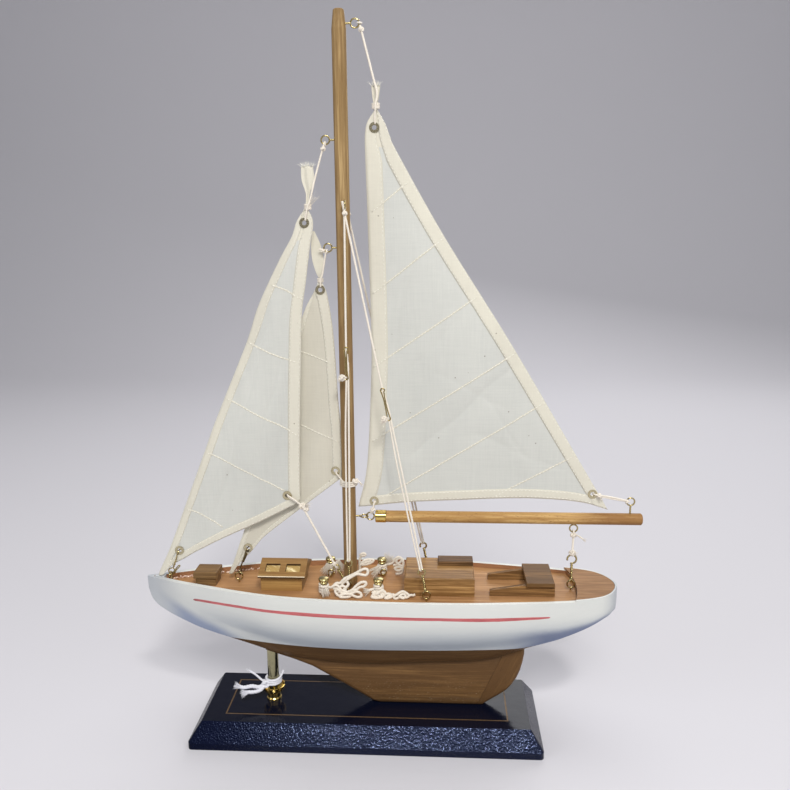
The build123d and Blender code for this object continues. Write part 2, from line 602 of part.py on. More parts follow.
FERRULE_X1 = 13.0
FERRULE_SEAT_R = 3.2     # boom radius inside the ferrule
SHEET_EYE_X, CLEW_EYE_X = 125.0, 157.7   # eyes under and on top of the boom
with BuildPart() as boom_blank:
    with BuildSketch(Plane.XZ):
        with BuildLine():
            Polyline((BOOM_X0, 0), (BOOM_X0, FERRULE_SEAT_R), (FERRULE_X1, FERRULE_SEAT_R),
                     (FERRULE_X1, BOOM_R), (BOOM_X1 - 0.7, BOOM_R), (BOOM_X1, BOOM_R - 0.7),
                     (BOOM_X1, 0), close=True)
        make_face()
    revolve(axis=Axis.X)
with BuildPart() as boom:
    add(boom_blank.part.moved(Location((0, 0, BOOM_Z))))
    with Locations(Plane(origin=(0, 0, BOOM_Z), z_dir=(1, 0, 0))):
        Cylinder(EYE_HOLE_R, 14.2, align=ON_BASE, mode=Mode.SUBTRACT)
    drill([(SHEET_EYE_X, 0)], BOOM_Z - 5, radius=EYE_HOLE_R, depth=4.6)
    drill([(CLEW_EYE_X, 0)], BOOM_Z + 0.4, radius=EYE_HOLE_R, depth=5)
parts["boom"] = boom.part

FERRULE_L = FERRULE_X1 - BOOM_X0 + 0.1
with BuildPart() as boom_ferrule:
    with Locations(Plane(origin=(BOOM_X0 - 0.2, 0, BOOM_Z), z_dir=(1, 0, 0))):
        Cylinder(3.8, FERRULE_L, align=ON_BASE)
        Cylinder(FERRULE_SEAT_R + 0.02, FERRULE_L, align=ON_BASE, mode=Mode.SUBTRACT)
    rims = boom_ferrule.edges().filter_by(GeomType.CIRCLE)
    chamfer(rims.filter_by(lambda edge: edge.radius > 3.5), length=0.25)
parts["boom_ferrule"] = boom_ferrule.part

parts["boom_eyes"] = group("boom_eyes", [
    screw_eye((SHEET_EYE_X, 0, BOOM_Z - BOOM_R), (0, 0, -1), (1, 0, 0), height=2.7,
              depth=SPAR_EYE_DEPTH),
    screw_eye((CLEW_EYE_X, 0, BOOM_Z + BOOM_R), (0, 0, 1), (1, 0, 0), height=7.4,
              depth=SPAR_EYE_DEPTH),
])


# ---- deck fittings ----------------------------------------------------------------------
def deck_eye(spot, across=(1, 0, 0), **sizes):
    return screw_eye((*spot, DECK_TOP), (0, 0, 1), across, **sizes)


def ring_at(spot):
    """Centre of the ring of the deck eye at a spot."""
    return (*spot, DECK_TOP + EYE_H)


parts["bow_eye"] = deck_eye(BOW_EYE, (0, 1, 0))
parts["staysail_deck_eye"] = deck_eye(STAY_EYE)
parts["shroud_deck_eyes"] = group("shroud_deck_eyes", [deck_eye(spot) for spot in SHROUD_EYES])
parts["mainsheet_deck_eye"] = deck_eye(SHEET_EYE)
parts["belaying_eyes"] = group("belaying_eyes", [
    deck_eye(spot, height=3.3, depth=BELAY_DEPTH, ring=1.7, wire=0.42) for spot in BELAYS])

# (radius, height above the deck), from the foot of the pin to the edge of the domed top
BOLLARD_PROFILE = [
    (0, -5), (1.0, -5), (1.0, 0), (2.5, 0), (2.5, 0.8), (1.7, 1.4), (1.7, 7.5), (2.6, 7.9),
    (2.75, 8.4), (2.5, 8.8), (2.95, 9.1), (3.1, 9.5), (3.1, 10.3), (2.8, 10.8)]
profile = [(radius, DECK_TOP + height) for radius, height in BOLLARD_PROFILE]
crown = (0, DECK_TOP + 11.3)
with BuildPart() as bollard:
    with BuildSketch(Plane.XZ):
        with BuildLine():
            Polyline(*profile)
            Spline(profile[-1], (1.5, DECK_TOP + 11.2), crown, tangents=((-1, 0.5), (-1, 0)))
            Line(crown, profile[0])
        make_face()
    revolve(axis=Axis.Z)
parts["bollards"] = group(
    "bollards", [bollard.part.moved(Location((x, y, 0))) for x, y in BOLLARDS])

# ---- standing rigging -------------------------------------------------------------------
# each shroud is one cord from a mast eye to a hook in a deck eye, with a wire bowsie on it
SHROUDS = [  # name, side, deck eye, height of the bowsie's middle, hook's shift in x and z
    ("port_fwd", -1, SHROUD_EYES[0], 233.5, 0.45, -0.1),
    ("starboard_fwd", 1, SHROUD_EYES[1], 233.5, 0.45, -0.1),
    ("port_aft", -1, SHROUD_EYES[2], 211.0, 0.0, 0.0),
    ("starboard_aft", 1, SHROUD_EYES[3], 211.0, 0.0, 0.0),
]
BOWSIE_L, BOWSIE_W, BOWSIE_WIRE = 18.5, 4.6, 0.8
lines, hooks = [], []
for name, side, spot, bowsie_z, shift_x, shift_z in SHROUDS:
    ring, head = ring_at(spot), (-7.7, side * 7.9, 317.6)
    # the forward port eye also takes the jib sheet's hook, so forward hooks sit to one side
    foot = (ring[0] + shift_x, ring[1], ring[2] + shift_z)
    hooks.append(s_hook(foot, head))
    direction = (Vector(*head) - Vector(*foot)).normalized()
    low_end = Vector(*foot) + direction * (HOOK_L + HOOK_TOP_R + HOOK_WIRE + 0.5)
    lines.append(rod(tuple(low_end), head, 0.7))
    middle = low_end + (Vector(*head) - low_end) * ((bowsie_z - low_end.Z) / (head[2] - low_end.Z))
    cord = along(tuple(middle), head)
    # a long wire loop lying against the outboard side of the cord
    outboard = cord.y_dir * (1.15 * (1 if cord.y_dir.Y * side > 0 else -1))
    with BuildPart() as bowsie:
        with BuildSketch(Plane(origin=cord.origin + outboard, x_dir=cord.x_dir,
                               z_dir=-cord.y_dir)):
            SlotOverall(BOWSIE_L, BOWSIE_W, rotation=90)
            SlotOverall(BOWSIE_L - 2 * BOWSIE_WIRE, BOWSIE_W - 2 * BOWSIE_WIRE, rotation=90,
                        mode=Mode.SUBTRACT)
        extrude(amount=BOWSIE_WIRE / 2, both=True)
    parts["bowsie_" + name] = bowsie.part
parts["shroud_lines"] = group("shroud_lines", lines)
parts["shroud_hooks"] = group("shroud_hooks", hooks)


# ---- sail shapes ------------------------------------------------------------------------
def grommet(x, y, z):
    """A pressed eyelet: barrel through the cloth and a flange on each side."""
    bore, barrel, flange = 1.3, 1.95, 2.8
    inner = SAIL_T / 2 + 0.03
    outer = inner + 0.35
    with BuildPart() as eyelet:
        with BuildSketch(Plane(origin=(x, y, z), x_dir=(1, 0, 0), z_dir=(0, 0, 1))):
            with BuildLine():
                Polyline((bore, -outer), (flange, -outer), (flange, -inner), (barrel, -inner),
                         (barrel, inner), (flange, inner), (flange, outer), (bore, outer),
                         close=True)
            make_face()
        revolve(axis=Axis((x, y, z), (0, 1, 0)))
    return eyelet.part


def sail(y, curves, holes):
    """A flat panel at y: (x, z) curves in order round its edge, gaps closed by straight lines."""
    with BuildPart() as panel:
        with BuildSketch(Plane(origin=(0, y, 0), x_dir=(1, 0, 0), z_dir=(0, -1, 0))):
            with BuildLine():
                for curve, following in zip(curves, curves[1:] + curves[:1]):
                    Spline(*curve)
                    if curve[-1] != following[0]:
                        Line(curve[-1], following[0])
            make_face()
        extrude(amount=SAIL_T / 2, both=True)
        for x, z in holes:
            with BuildSketch(Plane(origin=(x, y, z), x_dir=(1, 0, 0), z_dir=(0, -1, 0))):
                Circle(2.0)
            extrude(amount=2, both=True, mode=Mode.SUBTRACT)
    return panel.part


def add_sail(name, y, curves, holes):
    parts[name] = sail(y, curves, holes)
    parts[name + "_grommets"] = group(name + "_grommets", [grommet(x, y, z) for x, z in holes])


# Each sail's curves are its fore edge (upwards), aft edge (downwards) and lower edge (forwards).

# ---- mainsail ---------------------------------------------------------------------------
MAIN_CURVES = [
    [(-3.9, 144.6), (1.8, 171.0), (4.9, 221.9), (5.4, 254.6), (4.2, 320.4), (3.6, 351.9),
     (6.4, 366.4), (7.9, 374.6), (8.4, 382.8)],
    [(12.0, 382.8), (12.6, 366.3), (47.6, 303.4), (86.6, 241.9), (127.0, 173.9),
     (144.5, 144.5)],
    [(144.5, 144.5), (132.1, 148.4), (115.8, 150.4), (91.2, 151.2), (58.3, 149.6),
     (25.0, 147.4), (1.6, 145.2), (-3.9, 144.6)],
]
add_sail("mainsail", MAIN_Y, MAIN_CURVES, [(8.8, 362.6), (5.7, 148.4), (135.2, 154.1)])
LASHING_Y = MAIN_Y - 1.7
parts["tack_lashing"] = rod((5.9, LASHING_Y, 148.6), (4.6, LASHING_Y, 142.9), 0.55)
parts["clew_lashing"] = rod((137.6, LASHING_Y, 152.6), (153.9, LASHING_Y, 149.8), 0.6)
parts["main_halyard"] = rod((9.8, 0, 383.6), (2.4, 0, 412.3), 0.6)
parts["mainsheet"] = rod((SHEET_EYE_X, -0.3, 128.9), (124.5, -2.5, 117.9), 0.7)
parts["mainsheet_hook"] = s_hook(ring_at(SHEET_EYE), (*SHEET_EYE, 130), length=13.6, top=2.5)

# ---- jib --------------------------------------------------------------------------------
JIB_CURVES = [
    [(-129.8, 98.4), (-127.8, 103.5), (-121.2, 116.8), (-110.7, 142.4), (-96.2, 177.6),
     (-87.0, 200.2), (-67.4, 244.4), (-59.4, 265.8), (-46.8, 290.6), (-39.9, 306.7),
     (-34.6, 315.4), (-31.3, 327.3), (-30.8, 343.3)],
    [(-26.0, 343.3), (-26.9, 324.5), (-27.4, 312.6), (-28.8, 299.4), (-31.2, 279.3),
     (-34.0, 262.0), (-35.5, 236.2), (-36.9, 210.7), (-38.6, 170.0), (-39.0, 149.0)],
    [(-39.0, 149.0), (-43.5, 145.6), (-64.1, 134.6), (-87.3, 123.9), (-104.0, 115.2),
     (-112.0, 110.2), (-119.2, 106.6), (-124.6, 101.8), (-126.9, 98.4)],
]
add_sail("jib", JIB_Y, JIB_CURVES, [(-31.1, 312.1), (-115.3, 115.4), (-46.7, 151.8)])
parts["jib_halyard"] = rod((-26.4, -0.2, 344.2), (-20.2, 0, 353.2), 0.6)

TACK_WIRE = 0.38         # wire radius of the tack hooks
# wire hook from the tack eyelet to the bow eye
ring_x, ring_y, ring_z = ring_at(BOW_EYE)
with BuildPart() as jib_tack_hook:
    with Locations(Location((ring_x + 1.0, ring_y, ring_z + 2.75), (90, 0, 0))):
        Torus(2.2, TACK_WIRE)
    add(tube([(-120.7, 0.0, 103.0), (-119.3, -2.5, 105.2), (-117.2, -3.4, 110.0),
              (-116.1, -3.4, 113.4), (-115.5, -1.6, 115.2)], TACK_WIRE))
parts["jib_tack_hook"] = jib_tack_hook.part

# ---- staysail ---------------------------------------------------------------------------
STAY_CURVES = [
    [(-86.4, 98.6), (-82.4, 108.0), (-78.1, 120.0), (-74.5, 129.9), (-56.0, 190.0),
     (-43.0, 236.0), (-33.4, 265.4), (-30.3, 270.6), (-27.6, 275.5), (-26.6, 281.0),
     (-27.6, 290.0), (-28.2, 300.0), (-27.6, 308.0)],
    [(-25.8, 308.0), (-22.4, 297.0), (-22.0, 287.0), (-22.6, 281.0), (-20.5, 274.4),
     (-17.4, 254.4), (-16.1, 235.7), (-15.0, 210.0), (-13.9, 194.2), (-13.4, 166.5)],
    [(-14.2, 161.4), (-33.0, 147.2), (-50.7, 133.4), (-63.6, 122.8), (-71.5, 113.6),
     (-78.4, 106.4), (-82.4, 101.6), (-84.0, 98.6)],
]
add_sail("staysail", STAY_Y, STAY_CURVES, [(-23.8, 274.5), (-17.6, 166.2), (-73.3, 116.0)])
parts["staysail_halyard"] = rod((-22.6, 1.1, 280.8), (-20.0, 0.2, 294.9), 0.5)

# cord ring round the mast
with BuildPart() as staysail_clew_lashing:
    with Locations((MAST_X, 0, 159.4)):
        Torus(4.95, 0.75)
parts["staysail_clew_lashing"] = staysail_clew_lashing.part

ring_x, ring_y, ring_z = ring_at(STAY_EYE)
with BuildPart() as staysail_tack_hook:
    with Locations(Location((ring_x + 0.9, ring_y, ring_z + 3.12), (0, 90, 0))):
        Torus(2.1, 0.4)
    add(tube([(-78.55, 0.6, 103.0), (-77.2, 0.3, 106.4), (-75.4, 0.3, 111.2),
              (-74.0, 0.9, 114.4), (-73.5, 2.6, 115.8)], TACK_WIRE))
parts["staysail_tack_hook"] = staysail_tack_hook.part

# ---- jib sheet --------------------------------------------------------------------------
ring = Vector(*ring_at(SHROUD_EYES[0]))
lean = Vector(-0.53, 0.03, 0.85).normalized()
parts["jib_sheet_hook"] = s_hook((ring.X - 0.05, ring.Y, ring.Z - 0.05),
                                 tuple(ring + lean * 20), length=13.0, low=2.1, top=1.8)
parts["jib_sheet"] = tube([(-43.9, -3.4, 150.6), (-36.2, -5.0, 145.2), (-27.0, -7.2, 128.5),
                           tuple(ring + lean * 15.9)], 0.65)

# ---- loose rope on deck -----------------------------------------------------------------
COILS = [  # x, y, coil radius, rope radius
    (-17.0, -15.6, 3.2, 0.9), (-3.0, -16.6, 3.0, 0.9),
    (16.2, 14.6, 3.2, 1.0), (-1.0, 15.4, 3.0, 0.9)]
ropes = []
for x, y, coil_r, rope_r in COILS:
    with BuildPart() as coil:
        with Locations((x, y, DECK_TOP + rope_r + 0.05)):
            Torus(coil_r, rope_r)
    ropes.append(coil.part)
ropes.append(tube([(13.5, -18.4, DECK_TOP + 1.2), (20.0, -18.9, DECK_TOP + 1.7),
                   (28.5, -18.0, DECK_TOP + 1.3)], 1.1))
# rope wound round each bollard, as a plain sleeve
TURNS_H = 4.6
for x, y in BOLLARDS:
    with BuildPart() as turns:
        with Locations((x, y, DECK_TOP + 2.0)):
            Cylinder(2.9, TURNS_H, align=ON_BASE)
            Cylinder(1.8, TURNS_H, align=ON_BASE, mode=Mode.SUBTRACT)
    ropes.append(turns.part)
parts["deck_ropes"] = group("deck_ropes", ropes)

os.makedirs("parts", exist_ok=True)
for name, shape in parts.items():
    shape.label = name
    export_step(shape, "parts/" + name + ".step")
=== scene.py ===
"""A model sailing yacht held by a brass post over a black lacquered stand.

The frame: x runs from bow (-x) to stern (+x), port is -y and faces the camera, z is up.
"""
import bmesh
import bpy
import random
from bisect import bisect_right
from math import atan2, cos, exp, hypot, pi, radians, sin, sqrt, tau
from mathutils import Matrix, Vector, noise

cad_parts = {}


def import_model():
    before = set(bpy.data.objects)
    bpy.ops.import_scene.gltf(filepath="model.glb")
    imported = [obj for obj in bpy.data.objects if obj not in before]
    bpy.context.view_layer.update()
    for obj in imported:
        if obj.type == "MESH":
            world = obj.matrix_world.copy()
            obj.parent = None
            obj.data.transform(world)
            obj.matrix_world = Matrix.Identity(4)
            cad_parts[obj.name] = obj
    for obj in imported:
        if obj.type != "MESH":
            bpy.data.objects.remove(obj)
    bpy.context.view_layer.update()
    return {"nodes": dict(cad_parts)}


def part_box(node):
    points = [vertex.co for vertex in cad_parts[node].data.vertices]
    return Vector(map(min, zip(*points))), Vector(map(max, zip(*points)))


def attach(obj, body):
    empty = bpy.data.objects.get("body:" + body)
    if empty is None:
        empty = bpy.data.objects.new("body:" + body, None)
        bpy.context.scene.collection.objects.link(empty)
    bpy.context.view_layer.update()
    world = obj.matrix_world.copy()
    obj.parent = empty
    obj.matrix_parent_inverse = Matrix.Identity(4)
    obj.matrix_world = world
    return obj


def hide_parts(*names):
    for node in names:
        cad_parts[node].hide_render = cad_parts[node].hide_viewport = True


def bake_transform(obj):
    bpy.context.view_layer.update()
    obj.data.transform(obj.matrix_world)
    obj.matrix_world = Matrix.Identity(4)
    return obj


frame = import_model()
NODES = frame["nodes"]
scene = bpy.context.scene
random.seed(11)

MILLI = 0.001          # a millimetre in metres
DECK = 94.0            # height of the deck
EYE_RISE = 3.9         # height of a deck eye's ring above the deck
LINK = 3.6             # from an eye's ring to the centre of the hook loop linked in it
MAST_X = (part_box("mast")[0].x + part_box("mast")[1].x) * 500
MAIN_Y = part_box("mainsail")[0].y * 1000 + 0.3
JIB_Y = -1.6
STAYSAIL_Y = 2.6

# pairs of axes that set the plane of an arc
FLAT = ((1, 0, 0), (0, 1, 0))
CROSSWISE = ((0, 1, 0), (0, 0, 1))
LENGTHWISE = ((1, 0, 0), (0, 0, 1))

MATERIALS = {}         # every material made here, by name


# ---- curves

def spline(points, step=1.0, closed=False):
    """Points about `step` apart on a smooth curve; two points give a straight line."""
    points = [Vector(point) for point in points]
    count = len(points)
    if count == 2:
        pieces = max(2, int((points[1] - points[0]).length / step) + 1)
        return [points[0].lerp(points[1], i / (pieces - 1)) for i in range(pieces)]
    curve = []
    for i in range(count if closed else count - 1):
        start, end = points[i], points[(i + 1) % count]
        before = points[(i - 1) % count] if closed or i > 0 else points[0] * 2 - points[1]
        after = (points[(i + 2) % count] if closed or i + 2 < count
                 else points[-1] * 2 - points[-2])
        pieces = max(1, int((end - start).length / step + 0.5))
        for j in range(pieces):
            t = j / pieces
            curve.append(0.5 * (2 * start + (end - before) * t
                                + (2 * before - 5 * start + 4 * end - after) * t * t
                                + (3 * start - before - 3 * end + after) * t ** 3))
    if not closed:
        curve.append(points[-1])
    return curve


def basis(axis):
    """Two unit vectors square to an axis, and the unit axis itself."""
    axis = Vector(axis).normalized()
    one = Vector((1, 0, 0)) if abs(axis.x) < 0.9 else Vector((0, 1, 0))
    one = (one - axis * one.dot(axis)).normalized()
    return one, axis.cross(one), axis


def arc(centre, axes, radius, start, end, count, second_radius=None):
    """An arc from angle start to end, in radians; a second radius makes it elliptical."""
    second_radius = radius if second_radius is None else second_radius
    angles = [start + (end - start) * i / count for i in range(count + 1)]
    return [Vector(centre) + Vector(axes[0]) * (radius * cos(angle))
            + Vector(axes[1]) * (second_radius * sin(angle)) for angle in angles]


def helix(start, end, radius, turns, phase=0.0, count=None):
    start, end = Vector(start), Vector(end)
    one, two, _ = basis(end - start)
    count = count or int(turns * 14) + 2
    return [start.lerp(end, i / count)
            + (one * cos(phase + tau * turns * i / count)
               + two * sin(phase + tau * turns * i / count)) * radius
            for i in range(count + 1)]


class Polyline:
    """A chain of points that can be read by distance along it."""

    def __init__(self, points):
        self.points = points
        self.runs = [0.0]
        for start, end in zip(points, points[1:]):
            self.runs.append(self.runs[-1] + (end - start).length)
        self.length = self.runs[-1]

    def at(self, distance):
        distance = max(0.0, min(self.length, distance))
        i = min(bisect_right(self.runs, distance) - 1, len(self.runs) - 2)
        part = (distance - self.runs[i]) / max(1e-9, self.runs[i + 1] - self.runs[i])
        return self.points[i].lerp(self.points[i + 1], part)

    def share(self, part):
        """(x, z) at a part, 0 to 1, of the length."""
        point = self.at(part * self.length)
        return point.x, point.z


# ---- meshes

class Shape:
    """Points and faces in millimetres, with a material slot for each face."""

    def __init__(self):
        self.points, self.faces, self.slots = [], [], []

    def add(self, points, faces, slots=0):
        """Add a part; slots is one slot for all, or a list with one for each face."""
        start = len(self.points)
        self.points.extend(points)
        self.faces.extend(tuple(i + start for i in face) for face in faces)
        self.slots.extend(slots if isinstance(slots, list) else [slots] * len(faces))

    def finish(self, name, materials, body=None, slot=None, replaces=None):
        """Make the object; materials are names parted by spaces, one for each slot."""
        mesh = bpy.data.meshes.new(name)
        mesh.from_pydata([tuple(Vector(point) * MILLI) for point in self.points], [], self.faces)
        for material in materials.split():
            mesh.materials.append(MATERIALS[material])
        mesh.polygons.foreach_set("material_index", self.slots)
        mesh.polygons.foreach_set("use_smooth", [True] * len(self.faces))
        mesh.validate()
        mesh.update()
        editable = bmesh.new()
        editable.from_mesh(mesh)
        bmesh.ops.recalc_face_normals(editable, faces=editable.faces)
        editable.to_mesh(mesh)
        editable.free()
        made = bpy.data.objects.new(name, mesh)
        scene.collection.objects.link(made)
        if body:
            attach(made, body)
        if replaces:
            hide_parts(replaces)
        return made

    def loft(self, points, size, closed=False, caps=1, slot=0, skip=None):
        """Skin rings of `size` points. caps is how the end caps wind, 1 or -1, or 0 for none;
        skip(middle) tells which quads to leave out."""
        count = len(points) // size
        faces = []
        for i in range(count if closed else count - 1):
            near, far = i * size, (i + 1) % count * size
            for j in range(size):
                side = (j + 1) % size
                quad = (near + j, near + side, far + side, far + j)
                if not (skip and skip((points[quad[0]] + points[quad[2]]) / 2)):
                    faces.append(quad)
        if caps and not closed:
            first, last = range(size), range((count - 1) * size, count * size)
            faces += [tuple(first[::-caps]), tuple(last[::caps])]
        self.add(points, faces, slot)

    def tube(self, path, radius, sides, closed=False, pitch=None, thin=0.0):
        """A tube along a path. A pitch gives it three laid strands; thin is the share of
        its radius lost by the far end."""
        strands, groove = 3, 0.16
        count = len(path)
        tangents = []
        for i in range(count):
            before = path[(i - 1) % count] if closed or i > 0 else path[0]
            after = path[(i + 1) % count] if closed or i < count - 1 else path[-1]
            chord = after - before
            tangents.append(chord.normalized() if chord.length > 1e-9 else Vector((0, 0, 1)))
        first = tangents[0]
        up = Vector((0, 0, 1)) if abs(first.z) < 0.9 else Vector((1, 0, 0))
        normal = (up - first * up.dot(first)).normalized()
        normals = []
        for tangent in tangents:
            normal = normal - tangent * normal.dot(tangent)
            normal = (normal.normalized() if normal.length > 1e-9
                      else tangent.orthogonal().normalized())
            normals.append(normal)
        # a closed path spreads the mismatch between its ends over its whole length
        twist = 0.0
        if closed:
            last = (normal - first * normal.dot(first)).normalized()
            twist = atan2(normals[0].cross(last).dot(first), normals[0].dot(last))
        points, run = [], 0.0
        for i in range(count):
            if i:
                run += (path[i] - path[i - 1]).length
            binormal = tangents[i].cross(normals[i])
            turn = -twist * i / count
            for j in range(sides):
                angle = tau * j / sides
                reach = radius * (1.0 - thin * (i / (count - 1)))
                if pitch:
                    reach *= 1 + groove * cos(strands * (angle - tau * run / pitch))
                points.append(path[i] + (normals[i] * cos(angle + turn)
                                         + binormal * sin(angle + turn)) * reach)
        self.loft(points, sides, closed)

    def cord(self, radius, points, step=0.38, closed=False):
        self.tube(spline(points, step, closed), radius, 9, closed, pitch=radius * 4.4)

    def wire(self, radius, points, step, closed=False, sides=8):
        self.tube(spline(points, step, closed), radius, sides, closed)

    def knot(self, centre, size, radius, axis=(0, 0, 1), seed=0):
        """An overhand knot: a trefoil squeezed into a ball, with one more turn round it."""
        start = random.Random(seed).uniform(0, 3)
        one, two, axis = basis(axis)
        trefoil = []
        for i in range(30):
            t = tau * i / 30
            x = sin(t) + 2 * sin(2 * t)
            y = cos(t) - 2 * cos(2 * t)
            z = -sin(3 * t) * 1.2
            trefoil.append(Vector(centre) + (one * x + two * y + axis * z * 1.25) * (size / 3.4))
        self.cord(radius, trefoil, 0.35, True)
        turn = []
        for i in range(14):
            t = tau * i / 14
            turn.append(Vector(centre) + (one * cos(start + t) + axis * sin(start + t) * 0.9
                                          + two * 0.3 * sin(2 * t)) * size * 0.86)
        self.cord(radius, turn, 0.35, True)

    def fray(self, base, direction, length=2.6, count=16, spread=0.5, radius=0.09, seed=0,
             root=0.45):
        """A tuft of fibres that starts within `root` of its base."""
        draw = random.Random(seed)
        one, two, axis = basis(direction)
        for _ in range(count):
            angle, out = draw.uniform(0, tau), sqrt(draw.random())
            away = one * cos(angle) + two * sin(angle)
            start = Vector(base) + away * out * root
            reach = length * draw.uniform(0.65, 1.1)
            lean = away * out * spread * reach
            middle = (start + axis * reach * 0.45 + lean * 0.35
                      + one * draw.uniform(-0.2, 0.2) + two * draw.uniform(-0.2, 0.2))
            tip = (start + axis * reach + lean
                   + one * draw.uniform(-0.5, 0.5) + two * draw.uniform(-0.5, 0.5))
            self.tube(spline([start, middle, tip], 0.7), radius, 4, thin=0.55)

    def eye_turn(self, radius, centre, axes, loop_radius):
        """One turn of cord through a wire eye."""
        self.cord(radius, arc(centre, axes, loop_radius, 0, tau * 0.98, 14))

    def whipping(self, radius, centre, turns, pitch, half_x, half_y):
        """Turns of thread round the gathered head of a sail."""
        x, y, z = centre
        for k in range(turns):
            loop = arc((x, y, z + k * pitch), FLAT, half_x, 0.3, 0.3 + tau, 20, half_y)
            self.cord(radius, loop, 0.4)

    def hook(self, base, towards, length, low=2.2, top=2.0, gap=70):
        """A wire hook: a ring linked in an eye, a twisted shank, and an upper loop with an
        opening of `gap` degrees. low and top are the radii of the ring and the loop."""
        radius = 0.56
        one, two, axis = basis(towards - base)
        ring = arc(base + axis * LINK, (two, axis), low, radians(-270), radians(88), 30)
        self.wire(radius, ring, 0.5)
        start = base + axis * (LINK + low + 0.1)
        end = base + axis * (length - top - 0.1)
        turns = max(1.5, (end - start).length / 2.4)
        for phase in (0.0, pi):
            strand = helix(start, end, radius * 0.72, turns, phase)
            self.wire(radius * 0.8, strand, 0.3, sides=7)
        bottom = radians(-90)
        for sweep, count, step in ((radians(360 - gap), 28, 0.5), (-radians(18), 4, 0.3)):
            loop = arc(base + axis * length, (one, axis), top, bottom, bottom + sweep, count)
            self.wire(radius, loop, step)

    def blob(self, centre, radii, seed, around=10, down=7):
        """A lumpy ball."""
        points = []
        for i in range(down + 1):
            tilt = pi * i / down
            for j in range(around):
                turn = tau * j / around
                way = Vector((sin(tilt) * cos(turn), sin(tilt) * sin(turn), cos(tilt)))
                swell = 1 + 0.28 * noise.noise(way * 1.7 + Vector((seed, 0, 0)))
                stretched = Vector(part * radius for part, radius in zip(way, radii))
                points.append(Vector(centre) + stretched * swell)
        self.loft(points, around, caps=0)


# ---- shader helpers

def rgb(*display):
    """A linear colour from red, green and blue as 0-255 display values."""
    return tuple((c / 255) / 12.92 if c / 255 <= 0.04045 else ((c / 255 + 0.055) / 1.055) ** 2.4
                 for c in display)


def plug(tree, socket, source):
    """Feed a socket from a Value, another socket, a colour or a number."""
    if isinstance(source, Value):
        tree.links.new(source.socket, socket)
    elif isinstance(source, bpy.types.NodeSocket):
        tree.links.new(source, socket)
    elif isinstance(source, tuple):
        socket.default_value = (*source, 1.0)
    else:
        socket.default_value = source


class Value:
    """A shader value with arithmetic; each step adds a node."""

    def __init__(self, tree, socket):
        self.tree, self.socket = tree, socket

    def math(self, operation, other=None, clamp=False):
        node = self.tree.nodes.new("ShaderNodeMath")
        node.operation = operation
        node.use_clamp = clamp
        plug(self.tree, node.inputs[0], self)
        if other is not None:
            plug(self.tree, node.inputs[1], other)
        return Value(self.tree, node.outputs[0])

    def __add__(self, other): return self.math("ADD", other)
    def __radd__(self, other): return self.math("ADD", other)
    def __sub__(self, other): return self.math("SUBTRACT", other)
    def __mul__(self, other): return self.math("MULTIPLY", other)
    def __truediv__(self, other): return self.math("DIVIDE", other)
    def abs(self): return self.math("ABSOLUTE")
    def gt(self, other): return self.math("GREATER_THAN", other)
    def lt(self, other): return self.math("LESS_THAN", other)
    def max(self, other): return self.math("MAXIMUM", other)
    def clamp(self): return self.math("ADD", 0.0, clamp=True)
    def sin(self): return self.math("SINE")
    def pow(self, other): return self.math("POWER", other)

    def __rsub__(self, number):
        node = self.tree.nodes.new("ShaderNodeValue")
        node.outputs[0].default_value = number
        return Value(self.tree, node.outputs[0]).math("SUBTRACT", self)

    def smooth(self, start, end):
        """Ease from 0 at start to 1 at end; start may be the greater."""
        node = self.tree.nodes.new("ShaderNodeMapRange")
        node.interpolation_type = "SMOOTHSTEP"
        plug(self.tree, node.inputs["Value"], self)
        node.inputs["From Min"].default_value = start
        node.inputs["From Max"].default_value = end
        return Value(self.tree, node.outputs[0])


